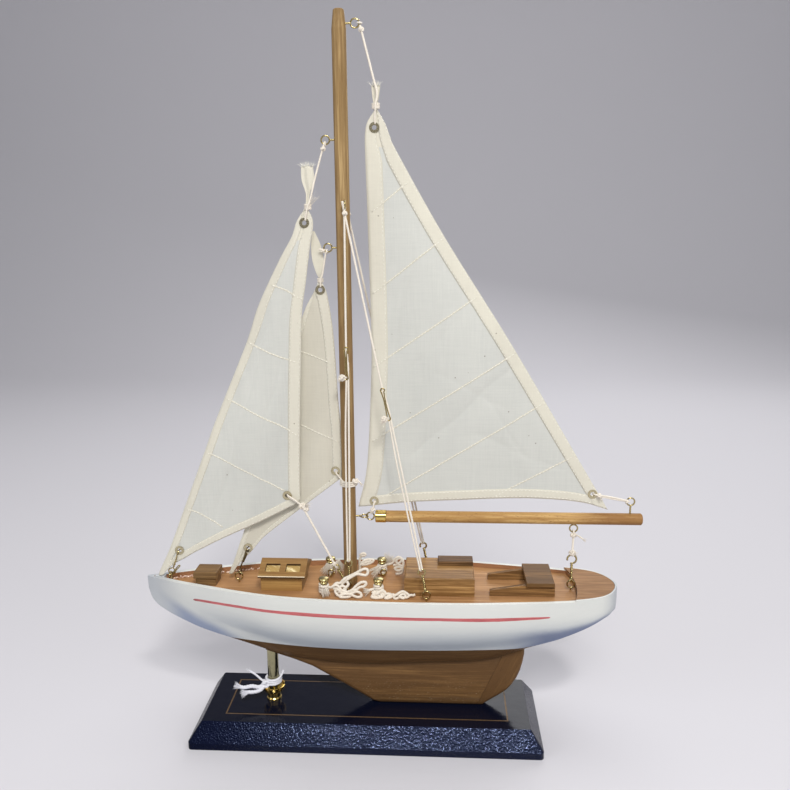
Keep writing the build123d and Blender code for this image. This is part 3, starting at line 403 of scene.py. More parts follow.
class Material:
    """A principled material whose textures are laid out in millimetres."""

    def __init__(self, name):
        MATERIALS[name] = bpy.data.materials.new(name)
        MATERIALS[name].use_nodes = True
        self.tree = MATERIALS[name].node_tree
        self.tree.nodes.clear()
        self.output = self.node("OutputMaterial")
        self.shader = self.node("BsdfPrincipled")
        self.tree.links.new(self.shader.outputs[0], self.output.inputs["Surface"])
        scaled = self.node("VectorMath")
        scaled.operation = "SCALE"
        self.tree.links.new(self.node("TexCoord").outputs["Object"], scaled.inputs[0])
        scaled.inputs["Scale"].default_value = 1000.0
        self.position = scaled.outputs[0]
        self.x, self.y, self.z = self.split(self.position)

    def node(self, kind):
        return self.tree.nodes.new("ShaderNode" + kind)

    def split(self, vector):
        parts = self.node("SeparateXYZ")
        self.tree.links.new(vector, parts.inputs[0])
        return tuple(Value(self.tree, parts.outputs[i]) for i in range(3))

    def normal(self):
        return self.split(self.node("NewGeometry").outputs["Normal"])

    def set(self, **inputs):
        """Set the shader's inputs, with _ for each space in a name."""
        for name, source in inputs.items():
            plug(self.tree, self.shader.inputs[name.replace("_", " ")], source)

    def coordinates(self, stretch, turn=None):
        """Coordinates turned by Euler angles, if given, and then scaled along each axis."""
        source = self.position
        if turn:
            turned = self.node("Mapping")
            turned.inputs["Rotation"].default_value = turn
            self.tree.links.new(source, turned.inputs["Vector"])
            source = turned.outputs[0]
        scaled = self.node("Mapping")
        scaled.inputs["Scale"].default_value = stretch
        self.tree.links.new(source, scaled.inputs["Vector"])
        return scaled.outputs[0]

    def noise(self, stretch=(1, 1, 1), scale=1.0, detail=4.0, rough=0.55, distort=0.0, turn=None):
        node = self.node("TexNoise")
        self.tree.links.new(self.coordinates(stretch, turn), node.inputs["Vector"])
        node.inputs["Scale"].default_value = scale
        node.inputs["Detail"].default_value = detail
        node.inputs["Roughness"].default_value = rough
        node.inputs["Distortion"].default_value = distort
        return Value(self.tree, node.outputs[0])

    def cells(self, scale):
        """Distance to the nearest of a scatter of points."""
        node = self.node("TexVoronoi")
        self.tree.links.new(self.coordinates((1, 1, 1)), node.inputs["Vector"])
        node.inputs["Scale"].default_value = scale
        return Value(self.tree, node.outputs["Distance"])

    def mix(self, amount, base, other):
        node = self.node("Mix")
        node.data_type = "RGBA"
        node.clamp_factor = True
        for i, source in ((0, amount), (6, base), (7, other)):
            plug(self.tree, node.inputs[i], source)
        return node.outputs[2]

    def ramp(self, value, *stops):
        """A colour ramp; stops are (position, colour)."""
        node = self.node("ValToRGB")
        elements = node.color_ramp.elements
        while len(elements) < len(stops):
            elements.new(0.5)
        for element, (position, colour) in zip(elements, stops):
            element.position = position
            element.color = (*colour, 1.0)
        plug(self.tree, node.inputs[0], value)
        return node.outputs[0]

    def follow_x(self, stops, low, high):
        """A value that follows x through stops of (x, value), all between low and high."""
        start, end = stops[0][0], stops[-1][0]
        greys = [((x - start) / (end - start), ((value - low) / (high - low),) * 3)
                 for x, value in stops]
        ramp = self.ramp((self.x - start) / (end - start), *greys)
        return Value(self.tree, ramp) * (high - low) + low

    def bump(self, height, strength, depth):
        """Surface relief; depth is in millimetres."""
        node = self.node("Bump")
        node.inputs["Strength"].default_value = strength
        node.inputs["Distance"].default_value = depth * MILLI
        plug(self.tree, node.inputs["Height"], height)
        self.tree.links.new(node.outputs[0], self.shader.inputs["Normal"])
        return node.outputs[0]


# ---- materials

def black_lacquer():
    """Smooth black top with a thin gold line round it, and hammered bevels."""
    line_x, line_y, line_half = 86.8, 18.6, 0.42
    mat = Material("black_lacquer")
    nz = mat.normal()[2]
    top = nz.gt(0.9) * mat.z.gt(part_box("base_board")[1].z * 1000 - 0.2)
    dents = mat.cells(scale=0.80).smooth(0.0, 0.75)
    ripples = mat.noise(scale=1.9, detail=1.0, rough=0.5)
    # painted shade: the bevels reflect less and less towards the left end
    shine = mat.x.smooth(-100.0, -20.0)
    mottle = mat.noise(scale=0.3, detail=3, rough=0.6)
    wobble = (mat.noise(scale=0.25, detail=2) - 0.5) * 0.25
    from_x = (mat.x.abs() - line_x + wobble).abs()
    from_y = (mat.y.abs() - line_y + wobble).abs()
    ends = from_x.lt(line_half) * mat.y.abs().lt(line_y + 0.4)
    sides = from_y.lt(line_half) * mat.x.abs().lt(line_x + 0.4)
    line = ends.max(sides) * top
    gold = mat.mix(mat.noise(scale=0.7, detail=4), rgb(62, 48, 32), rgb(108, 84, 54))
    black = mat.mix((1 - top) * mottle, rgb(5, 7, 18), rgb(10, 13, 30))
    mat.set(Base_Color=mat.mix(line * 0.8, black, gold),
            Roughness=top * (0.14 + line * 0.25) + (1 - top) * (0.10 + mottle * 0.08),
            Specular_IOR_Level=top * 0.20 + (1 - top) * (shine * 0.34 + 0.03),
            Specular_Tint=mat.mix(top, rgb(168, 184, 230), rgb(255, 255, 255)),
            Coat_Roughness=0.08,
            Metallic=line * 0.3)
    mat.bump((dents * 0.42 + ripples * 0.30) * (1 - top)
             + mat.noise(scale=0.12, detail=2) * top * 0.25, strength=1.0, depth=0.62)


def metal(name, dark, light, rough, tarnish, scale):
    """Brushed metal with spots of tarnish; scale sets the size of its clouds."""
    mat = Material(name)
    clouds = mat.noise(scale=scale, detail=5, rough=0.6)
    grit = mat.noise(scale=6.0, detail=3, rough=0.6)
    spots = mat.noise(scale=scale * 2.6, detail=3, rough=0.5).smooth(0.58, 0.72) * tarnish
    colour = mat.mix(clouds, dark, light)
    mat.set(Metallic=1.0,
            Base_Color=mat.mix(spots, colour, tuple(c * 0.35 for c in dark)),
            Roughness=(clouds * 0.12 + grit * 0.10 + rough - 0.06 + spots * 0.25).clamp())
    mat.bump(grit + mat.noise((1, 1, 8), scale=1.5, detail=2) * 0.4, strength=0.10, depth=0.03)


# name: dark colour, light colour, roughness, tarnish, scale of clouds
METALS = {
    "polished_brass": (rgb(206, 172, 90), rgb(232, 204, 128), 0.13, 0.35, 0.6),
    # darker, greyer brass on the post: a painted reflection of dark surroundings
    "post_brass_painted_reflection": (rgb(134, 129, 102), rgb(184, 178, 142), 0.10, 0.25, 0.5),
    "bollard_brass": (rgb(158, 142, 92), rgb(210, 196, 144), 0.20, 0.5, 1.2),
    "bronzed_wire": (rgb(146, 128, 84), rgb(206, 190, 138), 0.18, 0.5, 1.6),
    "antique_eyelet": (rgb(158, 146, 114), rgb(220, 210, 176), 0.22, 0.4, 1.3),
    "bowsie_wire": (rgb(142, 122, 72), rgb(190, 172, 118), 0.20, 0.5, 1.4),
    "dark_wire": (rgb(92, 80, 58), rgb(150, 132, 94), 0.25, 0.6, 1.4),
    "zinc_screw": (rgb(150, 150, 152), rgb(190, 190, 192), 0.3, 0.4, 0.6),
}

# (x, z) of the hull's chine towards the bow
CHINE = [(-132, 90), (-128.7, 87.6), (-124.7, 82.4), (-119.5, 79.4), (-113.1, 75.2), (-106.1, 71),
         (-98.5, 67.4), (-90.3, 63.9), (-81.8, 60.3), (-60, 54)]
# (x, z) of the middle of the red line, and (x, half width) of it
LINE_MIDDLE = [(-105.8, 86.85), (-100, 87.15), (-87, 87.4), (-74, 87.7), (-36, 87.75), (10, 87.75),
               (45, 87.6), (57, 87.2), (68, 86.8), (80, 86.55), (103, 86.55), (109.4, 86.7)]
LINE_HALF = [(-105.8, 0.9), (-98, 1), (-50, 1.05), (-36, 1.3), (0, 1.2), (45, 1.05), (66, 1.25),
             (80, 1.25), (92, 1.1), (103, 0.9), (109.4, 0.55)]


def hull_paint():
    """Brushed white with a red line outside, bare red-brown wood inside the rim."""
    mat = Material("hull_white_paint")
    nx, ny, nz = mat.normal()
    streak = mat.noise((0.05, 1.6, 1.6), detail=5, rough=0.6)
    patch = mat.noise((0.02, 0.12, 0.12), detail=3, rough=0.5)
    fine = mat.noise((0.5, 2.6, 2.6), detail=3, rough=0.5)
    white = mat.mix(patch * 0.6 + streak * 0.4, rgb(206, 208, 203), rgb(223, 224, 218))
    # painted shade and painted blue reflection where the surface faces down
    under = (nz * -1.0).smooth(0.12, 0.92)
    white = mat.mix(under * 0.62, white, rgb(142, 163, 190))
    # deeper painted blue shade and reflection under both ends
    under_ends = (nz * -1.0).smooth(0.34, 0.72) * mat.x.smooth(76.0, 112.0).max(
        mat.x.smooth(-66.0, -104.0) * nz.smooth(-0.5, -0.85))
    white = mat.mix(under_ends * 0.85, white, rgb(66, 88, 136))
    # a shaded band at and below the chine towards the bow
    above_chine = mat.z - mat.follow_x(CHINE, 50.0, 92.0)
    band = (above_chine.smooth(7.5, -2.5) * mat.x.smooth(-70.0, -96.0)
            * mat.x.smooth(-134.0, -112.0) * nz.lt(0.1))
    white = mat.mix(band * 0.72, white, rgb(86, 108, 152))
    # painted shade at the bow and at the stern, with a few dark specks all over
    white = mat.mix(mat.x.smooth(-106.0, -137.0) * 0.62, white, rgb(140, 147, 160))
    white = mat.mix(mat.x.smooth(140.0, 151.5) * 0.5, white, rgb(146, 154, 168))
    white = mat.mix(mat.cells(scale=0.03).lt(0.014) * 0.7, white, rgb(96, 92, 88))
    # the red line, with wavy edges and rounded ends, under painted shade at the bow
    middle = mat.follow_x(LINE_MIDDLE, 86.0, 88.0)
    half = mat.follow_x(LINE_HALF, 0.0, 2.0)
    edge = (mat.noise((0.22, 0, 0.8), detail=3) - 0.5) * 0.5
    round_end = (((mat.x + 105.9) / 1.3).clamp().pow(0.5)
                 * ((109.5 - mat.x) / 0.9).clamp().pow(0.5))
    line = (((half * round_end - (mat.z - middle + edge * 0.5).abs()) / 0.12).clamp()
            * mat.z.gt(80))
    red = mat.mix(mat.noise((0.05, 0.4, 2.4)).smooth(0.35, 0.65),
                  rgb(168, 44, 54), rgb(205, 84, 86))
    red = mat.mix(mat.x.smooth(-96.0, -106.0) * 0.7, red, rgb(120, 26, 34))
    outer = mat.mix(line * (0.80 + streak * 0.2), white, red)
    # bare wood: faces turned to the middle line, and faces turned to the bow
    inner = (mat.y * ny).lt(0.0) * mat.z.gt(92.4) * nz.lt(0.5)
    bowward = nx.lt(-0.45) * mat.z.gt(92.6)
    bare = inner.max(bowward) * mat.x.abs().lt(133.0)
    brown = mat.mix(mat.noise((0.06, 1.5, 1.5)), rgb(128, 86, 58), rgb(188, 140, 102))
    mat.set(Base_Color=mat.mix(bare, outer, brown),
            Roughness=(0.46 + streak * 0.16 - bare * 0.25).clamp(),
            Coat_Weight=0.06 + bare * 0.5,
            Coat_Roughness=0.25)
    mat.bump(streak * 0.9 + fine * 0.35 + line * 0.5 + patch * 0.5, strength=0.40, depth=0.09)


def wood(name, light, mid, dark, grain="X", turn=None, rough=0.38, coat=0.25, figure=1.0,
         pore=0.5, across=0.55, shade=None):
    """Straight-grained wood: broad figure, fine fibres and dark pores along the grain.

    figure and pore are strengths, across is how close the figure lies, turn holds Euler
    angles that tilt the grain; shade(mat, colour) adds tints, painted shade and highlights.
    """
    mat = Material(name)

    def grained(scale, lengthwise=1.0, **settings):
        stretch = [scale * (0.035 * lengthwise if axis == grain else 1) for axis in "XYZ"]
        return mat.noise(stretch, turn=turn, **settings)
    broad = grained(across, detail=3.0, rough=0.5, distort=0.6)
    fibres = grained(3.2, 0.6, detail=5.0, rough=0.65)
    pores = grained(6.5, 0.7, detail=2.0, rough=0.5)
    bands = grained(0.09, 3.0, detail=2.0, rough=0.5)
    tone = (broad * (0.9 * figure) + fibres * 0.45 + bands * 0.5
            - (0.42 + 0.45 * figure)).smooth(-0.05, 0.62)
    colour = mat.ramp(tone, (0.0, dark), (0.45, mid), (1.0, light))
    pits = pores.smooth(0.60, 0.74) * pore
    colour = mat.mix(pits, colour, tuple(c * 0.42 for c in dark))
    if shade:
        colour = shade(mat, colour)
    mat.set(Base_Color=colour,
            Roughness=(fibres * 0.22 + (rough - 0.08)).clamp(),
            Coat_Weight=coat * 0.16,
            Coat_Roughness=0.22,
            IOR=1.45,
            Specular_IOR_Level=0.09)
    mat.bump(fibres * 0.7 + pores * 0.5 - pits * 0.8, strength=0.35, depth=0.06)


def keel_shade(mat, colour):
    """Painted shade up towards the seam under the hull, with painted glints low on the fin."""
    colour = mat.mix(mat.z.smooth(34.0, 56.0) * 0.45, colour, rgb(74, 56, 40))
    # painted glints, low on the fin
    flecks = (mat.noise((0.5, 1.6, 1.6), scale=1.6, detail=2).smooth(0.66, 0.72)
              * mat.z.smooth(38.0, 26.0))
    return mat.mix(flecks * 0.45, colour, rgb(206, 186, 152))


def deck_shade(mat, colour):
    """Warm clouds, a darker stern and a few dark specks."""
    warm = mat.noise((0.02, 0.05, 0.05), detail=3)
    colour = mat.mix(warm.smooth(0.35, 0.7) * 0.45, colour, rgb(206, 158, 110))
    clouds = mat.noise((0.04, 0.34, 0.34), detail=3).smooth(0.40, 0.62)
    colour = mat.mix(mat.x.smooth(120.0, 128.0) * (0.38 + clouds * 0.5), colour,
                     rgb(126, 90, 54))
    specks = mat.noise(scale=1.3, detail=2).smooth(0.72, 0.78)
    return mat.mix(specks * 0.35, colour, rgb(110, 72, 44))


def skylight_shade(mat, colour):
    """Painted shade in the window recesses and under the eaves, a painted shadow and highlight on
    each eave's edge, and darker tops and aft faces.
    """
    eave_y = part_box("skylight_roof")[1].y * 1000
    nx, _, nz = mat.normal()
    # painted shade on the walls of the window recesses
    inside = mat.x.gt(-61.5) * mat.x.lt(-38.7) * mat.y.abs().lt(12.0)
    walls = inside * nz.lt(0.72) * mat.z.gt(103.6)
    colour = mat.mix(walls * 0.88, colour, rgb(44, 30, 26))
    upward = nz.gt(0.5) * (0.44 + mat.noise((0.08, 0.5, 0.5), detail=3) * 0.24)
    colour = mat.mix(upward, colour, rgb(108, 78, 50))
    # a painted shadow line on the edge faces of each eave
    eave = mat.y.abs().gt(eave_y - 0.35) * nz.lt(0.35)
    colour = mat.mix(eave * 0.9, colour, rgb(46, 30, 24))
    # a painted highlight on the upward faces along each eave's edge
    lip = mat.y.abs().gt(eave_y - 0.55) * nz.gt(0.35)
    colour = mat.mix(lip * (0.45 + mat.noise((0.5, 1, 1), detail=3) * 0.5), colour,
                     rgb(252, 238, 210))
    # painted shade on faces turned down
    under = nz.lt(-0.5) * mat.z.gt(99.0)
    colour = mat.mix(under * 0.9, colour, rgb(40, 24, 22))
    return mat.mix(nx.gt(0.6) * 0.45, colour, rgb(96, 78, 56))


def mast_shade(mat, colour):
    """Darker towards the deck, with dark patches."""
    colour = mat.mix(mat.z.smooth(330.0, 150.0) * 0.36, colour, rgb(130, 100, 64))
    patches = mat.noise((0.25, 0.25, 0.05), detail=2).smooth(0.62, 0.76) * 0.35
    return mat.mix(patches, colour, rgb(96, 64, 38))


def boom_shade(mat, colour):
    """Mottled and speckled, darker at the after end."""
    mottle = mat.noise((0.05, 0.35, 0.35)).smooth(0.46, 0.62) * 0.7
    end = mat.x.smooth(118.0, 146.0) * (0.50 + mat.noise((0.12, 0.5, 0.5), detail=3) * 0.5)
    colour = mat.mix(mottle, colour, rgb(158, 118, 70))
    specks = mat.noise((0.5, 1.4, 1.4), detail=3).smooth(0.58, 0.70) * 0.75
    colour = mat.mix(specks, colour, rgb(120, 86, 50))
    return mat.mix(end, colour, rgb(132, 92, 54))


def woods():
    walnut = dict(light=rgb(150, 117, 76), mid=rgb(126, 94, 58), dark=rgb(94, 68, 42),
                  rough=0.36, coat=0.3, figure=0.7, pore=0.8, across=0.75)
    wood("walnut", **walnut, shade=keel_shade)
    # the rudder's grain runs down its sloping stock
    wood("walnut_rudder", **walnut, grain="Z", turn=(0, radians(-24.2), 0))
    wood("deck_wood", rgb(204, 162, 116), rgb(184, 142, 98), rgb(152, 112, 74),
         rough=0.40, coat=0.35, across=0.9, pore=0.35, shade=deck_shade)
    wood("house_wood", rgb(220, 182, 124), rgb(188, 148, 96), rgb(126, 92, 54),
         rough=0.34, coat=0.3, across=0.8, pore=0.75)
    wood("skylight_wood", rgb(226, 192, 128), rgb(204, 166, 104), rgb(160, 122, 72),
         rough=0.34, coat=0.2, across=0.45, figure=0.8, pore=0.4, shade=skylight_shade)
    wood("fore_hatch_wood", rgb(186, 152, 106), rgb(156, 124, 82), rgb(112, 86, 56),
         rough=0.36, coat=0.3, across=0.8, pore=0.5)
    wood("seat_wood", rgb(166, 130, 84), rgb(136, 101, 62), rgb(96, 70, 42),
         rough=0.40, coat=0.2, across=0.7, pore=0.4)
    wood("coaming_wood", rgb(190, 150, 100), rgb(160, 122, 76), rgb(110, 80, 50),
         rough=0.40, coat=0.2, across=0.8, pore=0.5)
    wood("dark_wood", rgb(160, 126, 84), rgb(130, 98, 64), rgb(78, 56, 36),
         rough=0.40, coat=0.12, across=0.8, pore=0.4)
    wood("pale_wood", rgb(250, 238, 196), rgb(236, 216, 164), rgb(178, 148, 92),
         turn=(0, 0, radians(35)), rough=0.22, coat=0.7, across=0.5, figure=1.4, pore=0.3)
    wood("mast_wood", rgb(200, 174, 128), rgb(176, 148, 104), rgb(132, 106, 70), grain="Z",
         rough=0.40, coat=0.2, across=0.55, pore=0.55, shade=mast_shade)
    wood("boom_wood", rgb(228, 196, 140), rgb(208, 172, 114), rgb(168, 130, 78),
         rough=0.42, coat=0.15, across=0.6, pore=0.45, shade=boom_shade)


def cord_material(name, dark, light, scale, rough, sheen, sheen_rough):
    mat = Material(name)
    clouds = mat.noise(scale=scale, detail=4)
    fuzz = mat.noise(scale=7.0, detail=3)
    mat.set(Base_Color=mat.mix(clouds * 0.6 + fuzz * 0.4, dark, light),
            Roughness=rough,
            Sheen_Weight=sheen,
            Sheen_Roughness=sheen_rough)
    mat.bump(fuzz + clouds * 0.4, strength=0.6, depth=0.10)


def cloth(name, dark, light, clear):
    """Plain-weave cotton with slubs and seed flecks; clear is how much light it lets through."""
    thread_pitch = 0.62
    mat = Material(name)
    warp = (mat.x * (tau / thread_pitch) + mat.noise((0.3, 0.3, 0.3), detail=2) * 3).sin()
    weft = (mat.z * (tau / thread_pitch)
            + mat.noise((0.3, 0.3, 0.3), scale=1.3, detail=2) * 3).sin()
    weave = warp * 0.5 + weft * 0.5
    slub = (mat.noise((0.05, 1, 1.4), detail=3) * 0.5
            + mat.noise((1.4, 1, 0.05), detail=3) * 0.5)
    clouds = mat.noise((0.02, 0.02, 0.02), detail=3)
    tone = (slub * 0.9 + clouds * 0.6 + weave * 0.05 - 0.25).clamp()
    colour = mat.mix(tone, dark, light)
    colour = mat.mix(mat.cells(scale=0.085).lt(0.035) * 0.6, colour, rgb(122, 104, 82))
    mat.set(Base_Color=colour, Roughness=0.9, Sheen_Weight=0.15, Specular_IOR_Level=0.2)
    creased = mat.noise((0.12, 0.12, 0.05))
    relief = mat.bump(weave * 0.5 + slub * 0.8 + creased * 2.0, strength=0.55, depth=0.10)
    glow = mat.node("BsdfTranslucent")
    plug(mat.tree, glow.inputs["Color"], colour)
    mat.tree.links.new(relief, glow.inputs["Normal"])
    blend = mat.node("MixShader")
    blend.inputs[0].default_value = clear
    mat.tree.links.new(mat.shader.outputs[0], blend.inputs[1])
    mat.tree.links.new(glow.outputs[0], blend.inputs[2])
    mat.tree.links.new(blend.outputs[0], mat.output.inputs["Surface"])


def stitch_thread():
    mat = Material("stitch_thread")
    mat.set(Base_Color=mat.mix(mat.noise(scale=3.0, detail=2),
                               rgb(222, 218, 202), rgb(250, 248, 238)),
            Roughness=0.6)
    mat.bump(mat.noise(scale=8.0, detail=2), strength=0.4, depth=0.05)


def varnish_bead():
    """Clear glue squeezed out along the foot of the rim."""
    mat = Material("varnish_bead")
    clouds = mat.noise(scale=0.8, detail=4)
    mat.set(Base_Color=mat.mix(clouds.smooth(0.35, 0.65), rgb(150, 96, 66), rgb(240, 216, 196)),
            Roughness=0.12,
            Coat_Weight=1.0,
            Coat_Roughness=0.05)
    mat.bump(clouds, strength=0.6, depth=0.3)


black_lacquer()
for metal_name, settings in METALS.items():
    metal(metal_name, *settings)
hull_paint()
woods()
cord_material("cotton_cord", rgb(206, 194, 176), rgb(244, 238, 226), scale=1.1, rough=0.85,
              sheen=0.35, sheen_rough=0.5)
cord_material("silver_cord", rgb(196, 196, 204), rgb(246, 246, 252), scale=1.4, rough=0.55,
              sheen=0.4, sheen_rough=0.4)
cloth("sail_single_cloth", rgb(206, 207, 201), rgb(232, 232, 225), clear=0.30)
cloth("sail_hem_cloth", rgb(214, 209, 193), rgb(233, 229, 213), clear=0.16)
cloth("staysail_cloth", rgb(208, 203, 188), rgb(229, 225, 210), clear=0.24)
stitch_thread()
varnish_bead()

# ---- CAD pieces that stay

# material, width of the bevel, pieces
DRESS = (
    ("black_lacquer", 0, "base_board"),
    ("polished_brass", 0, "post_tube post_cup post_rosette boom_ferrule"),
    # the post's brass carries a painted reflection of dark surroundings
    ("post_brass_painted_reflection", 0, "post_tube"),  # over the polished brass, on the object's own slots
    ("bollard_brass", 0, "bollards belaying_eyes"),
    ("zinc_screw", 0, "stand_screws"),
    ("hull_white_paint", 0, "hull_upper"),
    ("walnut", 0, "hull_lower"),
    ("walnut_rudder", 0, "rudder"),
    ("deck_wood", 0, "main_deck aft_deck"),
    ("fore_hatch_wood", 0.25, "fore_hatch_body"),
    ("fore_hatch_wood", 0, "fore_hatch_lid"),
    ("skylight_wood", 0.2, "skylight_body"),
    ("skylight_wood", 0.16, "skylight_roof"),
    ("pale_wood", 0, "skylight_panes"),
    ("house_wood", 0, "cabin_trunk"),
    ("dark_wood", 0.15, "cabin_hatch"),
    ("coaming_wood", 0.2, "coaming_port coaming_starboard"),
    ("seat_wood", 0.2, "helm_seat"),
    ("mast_wood", 0, "mast"),
    ("boom_wood", 0, "boom"),
    ("bronzed_wire", 0, "mast_rigging_eyes gooseneck_mast_eye gooseneck_boom_eye boom_eyes "
                        "bow_eye staysail_deck_eye shroud_deck_eyes mainsheet_deck_eye"),
    ("antique_eyelet", 0, "mainsail_grommets jib_grommets staysail_grommets"),
)


def dress(piece, material, bevel):
    """Give a CAD piece its material and, where bevel is not 0, softened edges."""
    if not piece.material_slots:
        piece.data.materials.append(material)
    for slot in piece.material_slots:
        slot.link = "OBJECT"
        slot.material = material
    if bevel:
        weld = piece.modifiers.new("weld", "WELD")
        weld.merge_threshold = 2e-5
        soft = piece.modifiers.new("bevel", "BEVEL")
        soft.width = bevel * MILLI
        soft.segments = 2
        soft.limit_method = "ANGLE"
        soft.angle_limit = radians(35)
        soft.miter_outer = "MITER_ARC"


for material_name, bevel_width, pieces in DRESS:
    for piece_name in pieces.split():
        dress(NODES[piece_name], MATERIALS[material_name], bevel_width)


# ---- sails

def ease(value, start, end):
    """0 before start, 1 after end, smooth between."""
    value = max(0.0, min(1.0, (value - start) / (end - start)))
    return value * value * (3 - 2 * value)


class Sail:
    """A sail in the plane y. A place on it is `across` (0 luff, 1 leech) and `rise`
    (0 foot, 1 head); shape(across, rise, x, z) is how far it stands out along +y."""

    def __init__(self, y, luff, leech, foot, shape, grommets):
        self.y, self.shape, self.grommets = y, shape, grommets
        self.luff, self.leech, self.foot = (
            Polyline(spline([(x, 0, z) for x, z in edge])) for edge in (luff, leech, foot))

    def flat(self, across, rise):
        """(x, z) of a place, bent low down to follow the foot."""
        (luff_x, luff_z), (leech_x, leech_z) = self.luff.share(rise), self.leech.share(rise)
        foot_x, foot_z = self.foot.share(across)
        (start_x, start_z), (end_x, end_z) = self.foot.share(0), self.foot.share(1)
        pull = (1 - rise) ** 3
        back = 1 - across
        return (back * luff_x + across * leech_x + pull * (foot_x - back * start_x - across * end_x),
                back * luff_z + across * leech_z + pull * (foot_z - back * start_z - across * end_z))

    def width(self, rise):
        (luff_x, luff_z), (leech_x, leech_z) = self.luff.share(rise), self.leech.share(rise)
        return hypot(leech_x - luff_x, leech_z - luff_z)

    def place(self, across, rise, offset=0.0):
        x, z = self.flat(across, rise)
        nearest = min(hypot(x - hole_x, z - hole_z) for hole_x, hole_z in self.grommets)
        calm = ease(nearest, 3.2, 16.0)  # flat round the grommets
        return Vector((x, self.y + self.shape(across, rise, x, z) * calm + offset, z))

    def locate(self, x, z, across, rise):
        """The place (across, rise) of a point (x, z), stepped towards from a first guess."""
        nudge = 1e-3
        for _ in range(30):
            now_x, now_z = self.flat(across, rise)
            miss_x, miss_z = x - now_x, z - now_z
            if abs(miss_x) + abs(miss_z) < 0.01:
                break
            side_x, side_z = self.flat(min(1, across + nudge), rise)
            high_x, high_z = self.flat(across, min(1, rise + nudge))
            side_x, side_z = (side_x - now_x) / nudge, (side_z - now_z) / nudge
            high_x, high_z = (high_x - now_x) / nudge, (high_z - now_z) / nudge
            area_ratio = side_x * high_z - high_x * side_z
            if abs(area_ratio) < 1e-9:
                break
            step_across = (miss_x * high_z - high_x * miss_z) / area_ratio
            step_rise = (side_x * miss_z - miss_x * side_z) / area_ratio
            across = max(0.0, min(1.0, across + step_across))
            rise = max(0.0, min(1.0, rise + step_rise))
        return across, rise

    def in_hole(self, point, radius=1.9):
        return any(hypot(point.x - x, point.z - z) < radius for x, z in self.grommets)

    def sheet(self, shape, columns, rows, head):
        """The cloth, two-faced, with hem cloth over the top `head` of its height."""
        half = 0.15
        points = [self.place(i / columns, j / rows, side * half)
                  for side in (-1, 1) for j in range(rows + 1) for i in range(columns + 1)]
        back = len(points) // 2

        def index(i, j):
            return j * (columns + 1) + i
        peak = max(point.z for point in points)
        faces, slots = [], []
        for j in range(rows):
            for i in range(columns):
                quad = (index(i, j), index(i + 1, j), index(i + 1, j + 1), index(i, j + 1))
                middle = (points[quad[0]] + points[quad[2]]) / 2
                if self.in_hole(middle):
                    continue
                faces += [quad, tuple(back + k for k in reversed(quad))]
                slots += [int(middle.z > peak - head)] * 2
        rim = ([index(i, 0) for i in range(columns)]
               + [index(columns, j) for j in range(rows)]
               + [index(i, rows) for i in range(columns, 0, -1)]
               + [index(0, j) for j in range(rows, 0, -1)])
        for start, end in zip(rim, rim[1:] + rim[:1]):
            faces.append((start, back + start, back + end, end))
            slots.append(1)
        shape.add(points, faces, slots)

    def strip(self, shape, spot, count, half):
        """A folded hem. spot(part, depth) gives the place at a part of the edge, and at a
        depth of 0 on the edge to 1 on the hem's inner side."""
        inner, cross = 0.30, 5
        points = []
        for i in range(count + 1):
            profile = []
            for k in range(cross + 1):
                depth = k / cross
                thick = (half * (0.55 + 0.45 * ease(depth, 0, 0.12)) if depth < 0.5
                         else half + (inner - half) * ease(depth, 0.9, 1.0))
                profile.append((*spot(i / count, depth), thick))
            points += [self.place(across, rise, -thick) for across, rise, thick in profile]
            points += [self.place(across, rise, thick)
                       for across, rise, thick in reversed(profile)]
        shape.loft(points, 2 * (cross + 1), caps=-1, slot=1, skip=self.in_hole)

    def stitches(self, shape, places, offset, dash=1.5, gap=0.8, half_width=0.21, height=0.17):
        """A row of short stitches on both faces, at `offset` from the middle of the cloth."""
        jitter = 0.09
        draw = random.Random(len(places) * 7 + int(offset * 1000))
        row = Polyline([self.place(*place) for place in places])
        run = gap
        while run + dash < row.length:
            start, end = row.at(run), row.at(run + dash * draw.uniform(0.85, 1.1))
            run += dash + gap
            chord = end - start
            if self.in_hole((start + end) / 2, 3.2) or chord.length < 1e-6:
                continue
            side = Vector((0, 1, 0)).cross(chord).normalized() * half_width
            shift = Vector((draw.uniform(-jitter, jitter), 0, draw.uniform(-jitter, jitter)))
            low, high = start.lerp(end, 0.28) + shift, start.lerp(end, 0.72) + shift
            for sign in (-1, 1):
                out, up = Vector((0, sign * offset, 0)), Vector((0, sign * height, 0))
                points = [start + out - up * 0.3]
                for middle in (low, high):
                    points += [middle + out + side, middle + out + up, middle + out - side,
                               middle + out - up * 0.6]
                points.append(end + out - up * 0.3)
                faces = [(0, 1, 2), (0, 2, 3), (0, 3, 4), (0, 4, 1),
                         (1, 5, 6, 2), (2, 6, 7, 3), (3, 7, 8, 4), (4, 8, 5, 1),
                         (5, 9, 6), (6, 9, 7), (7, 9, 8), (8, 9, 5)]
                shape.add(points, faces, 2)

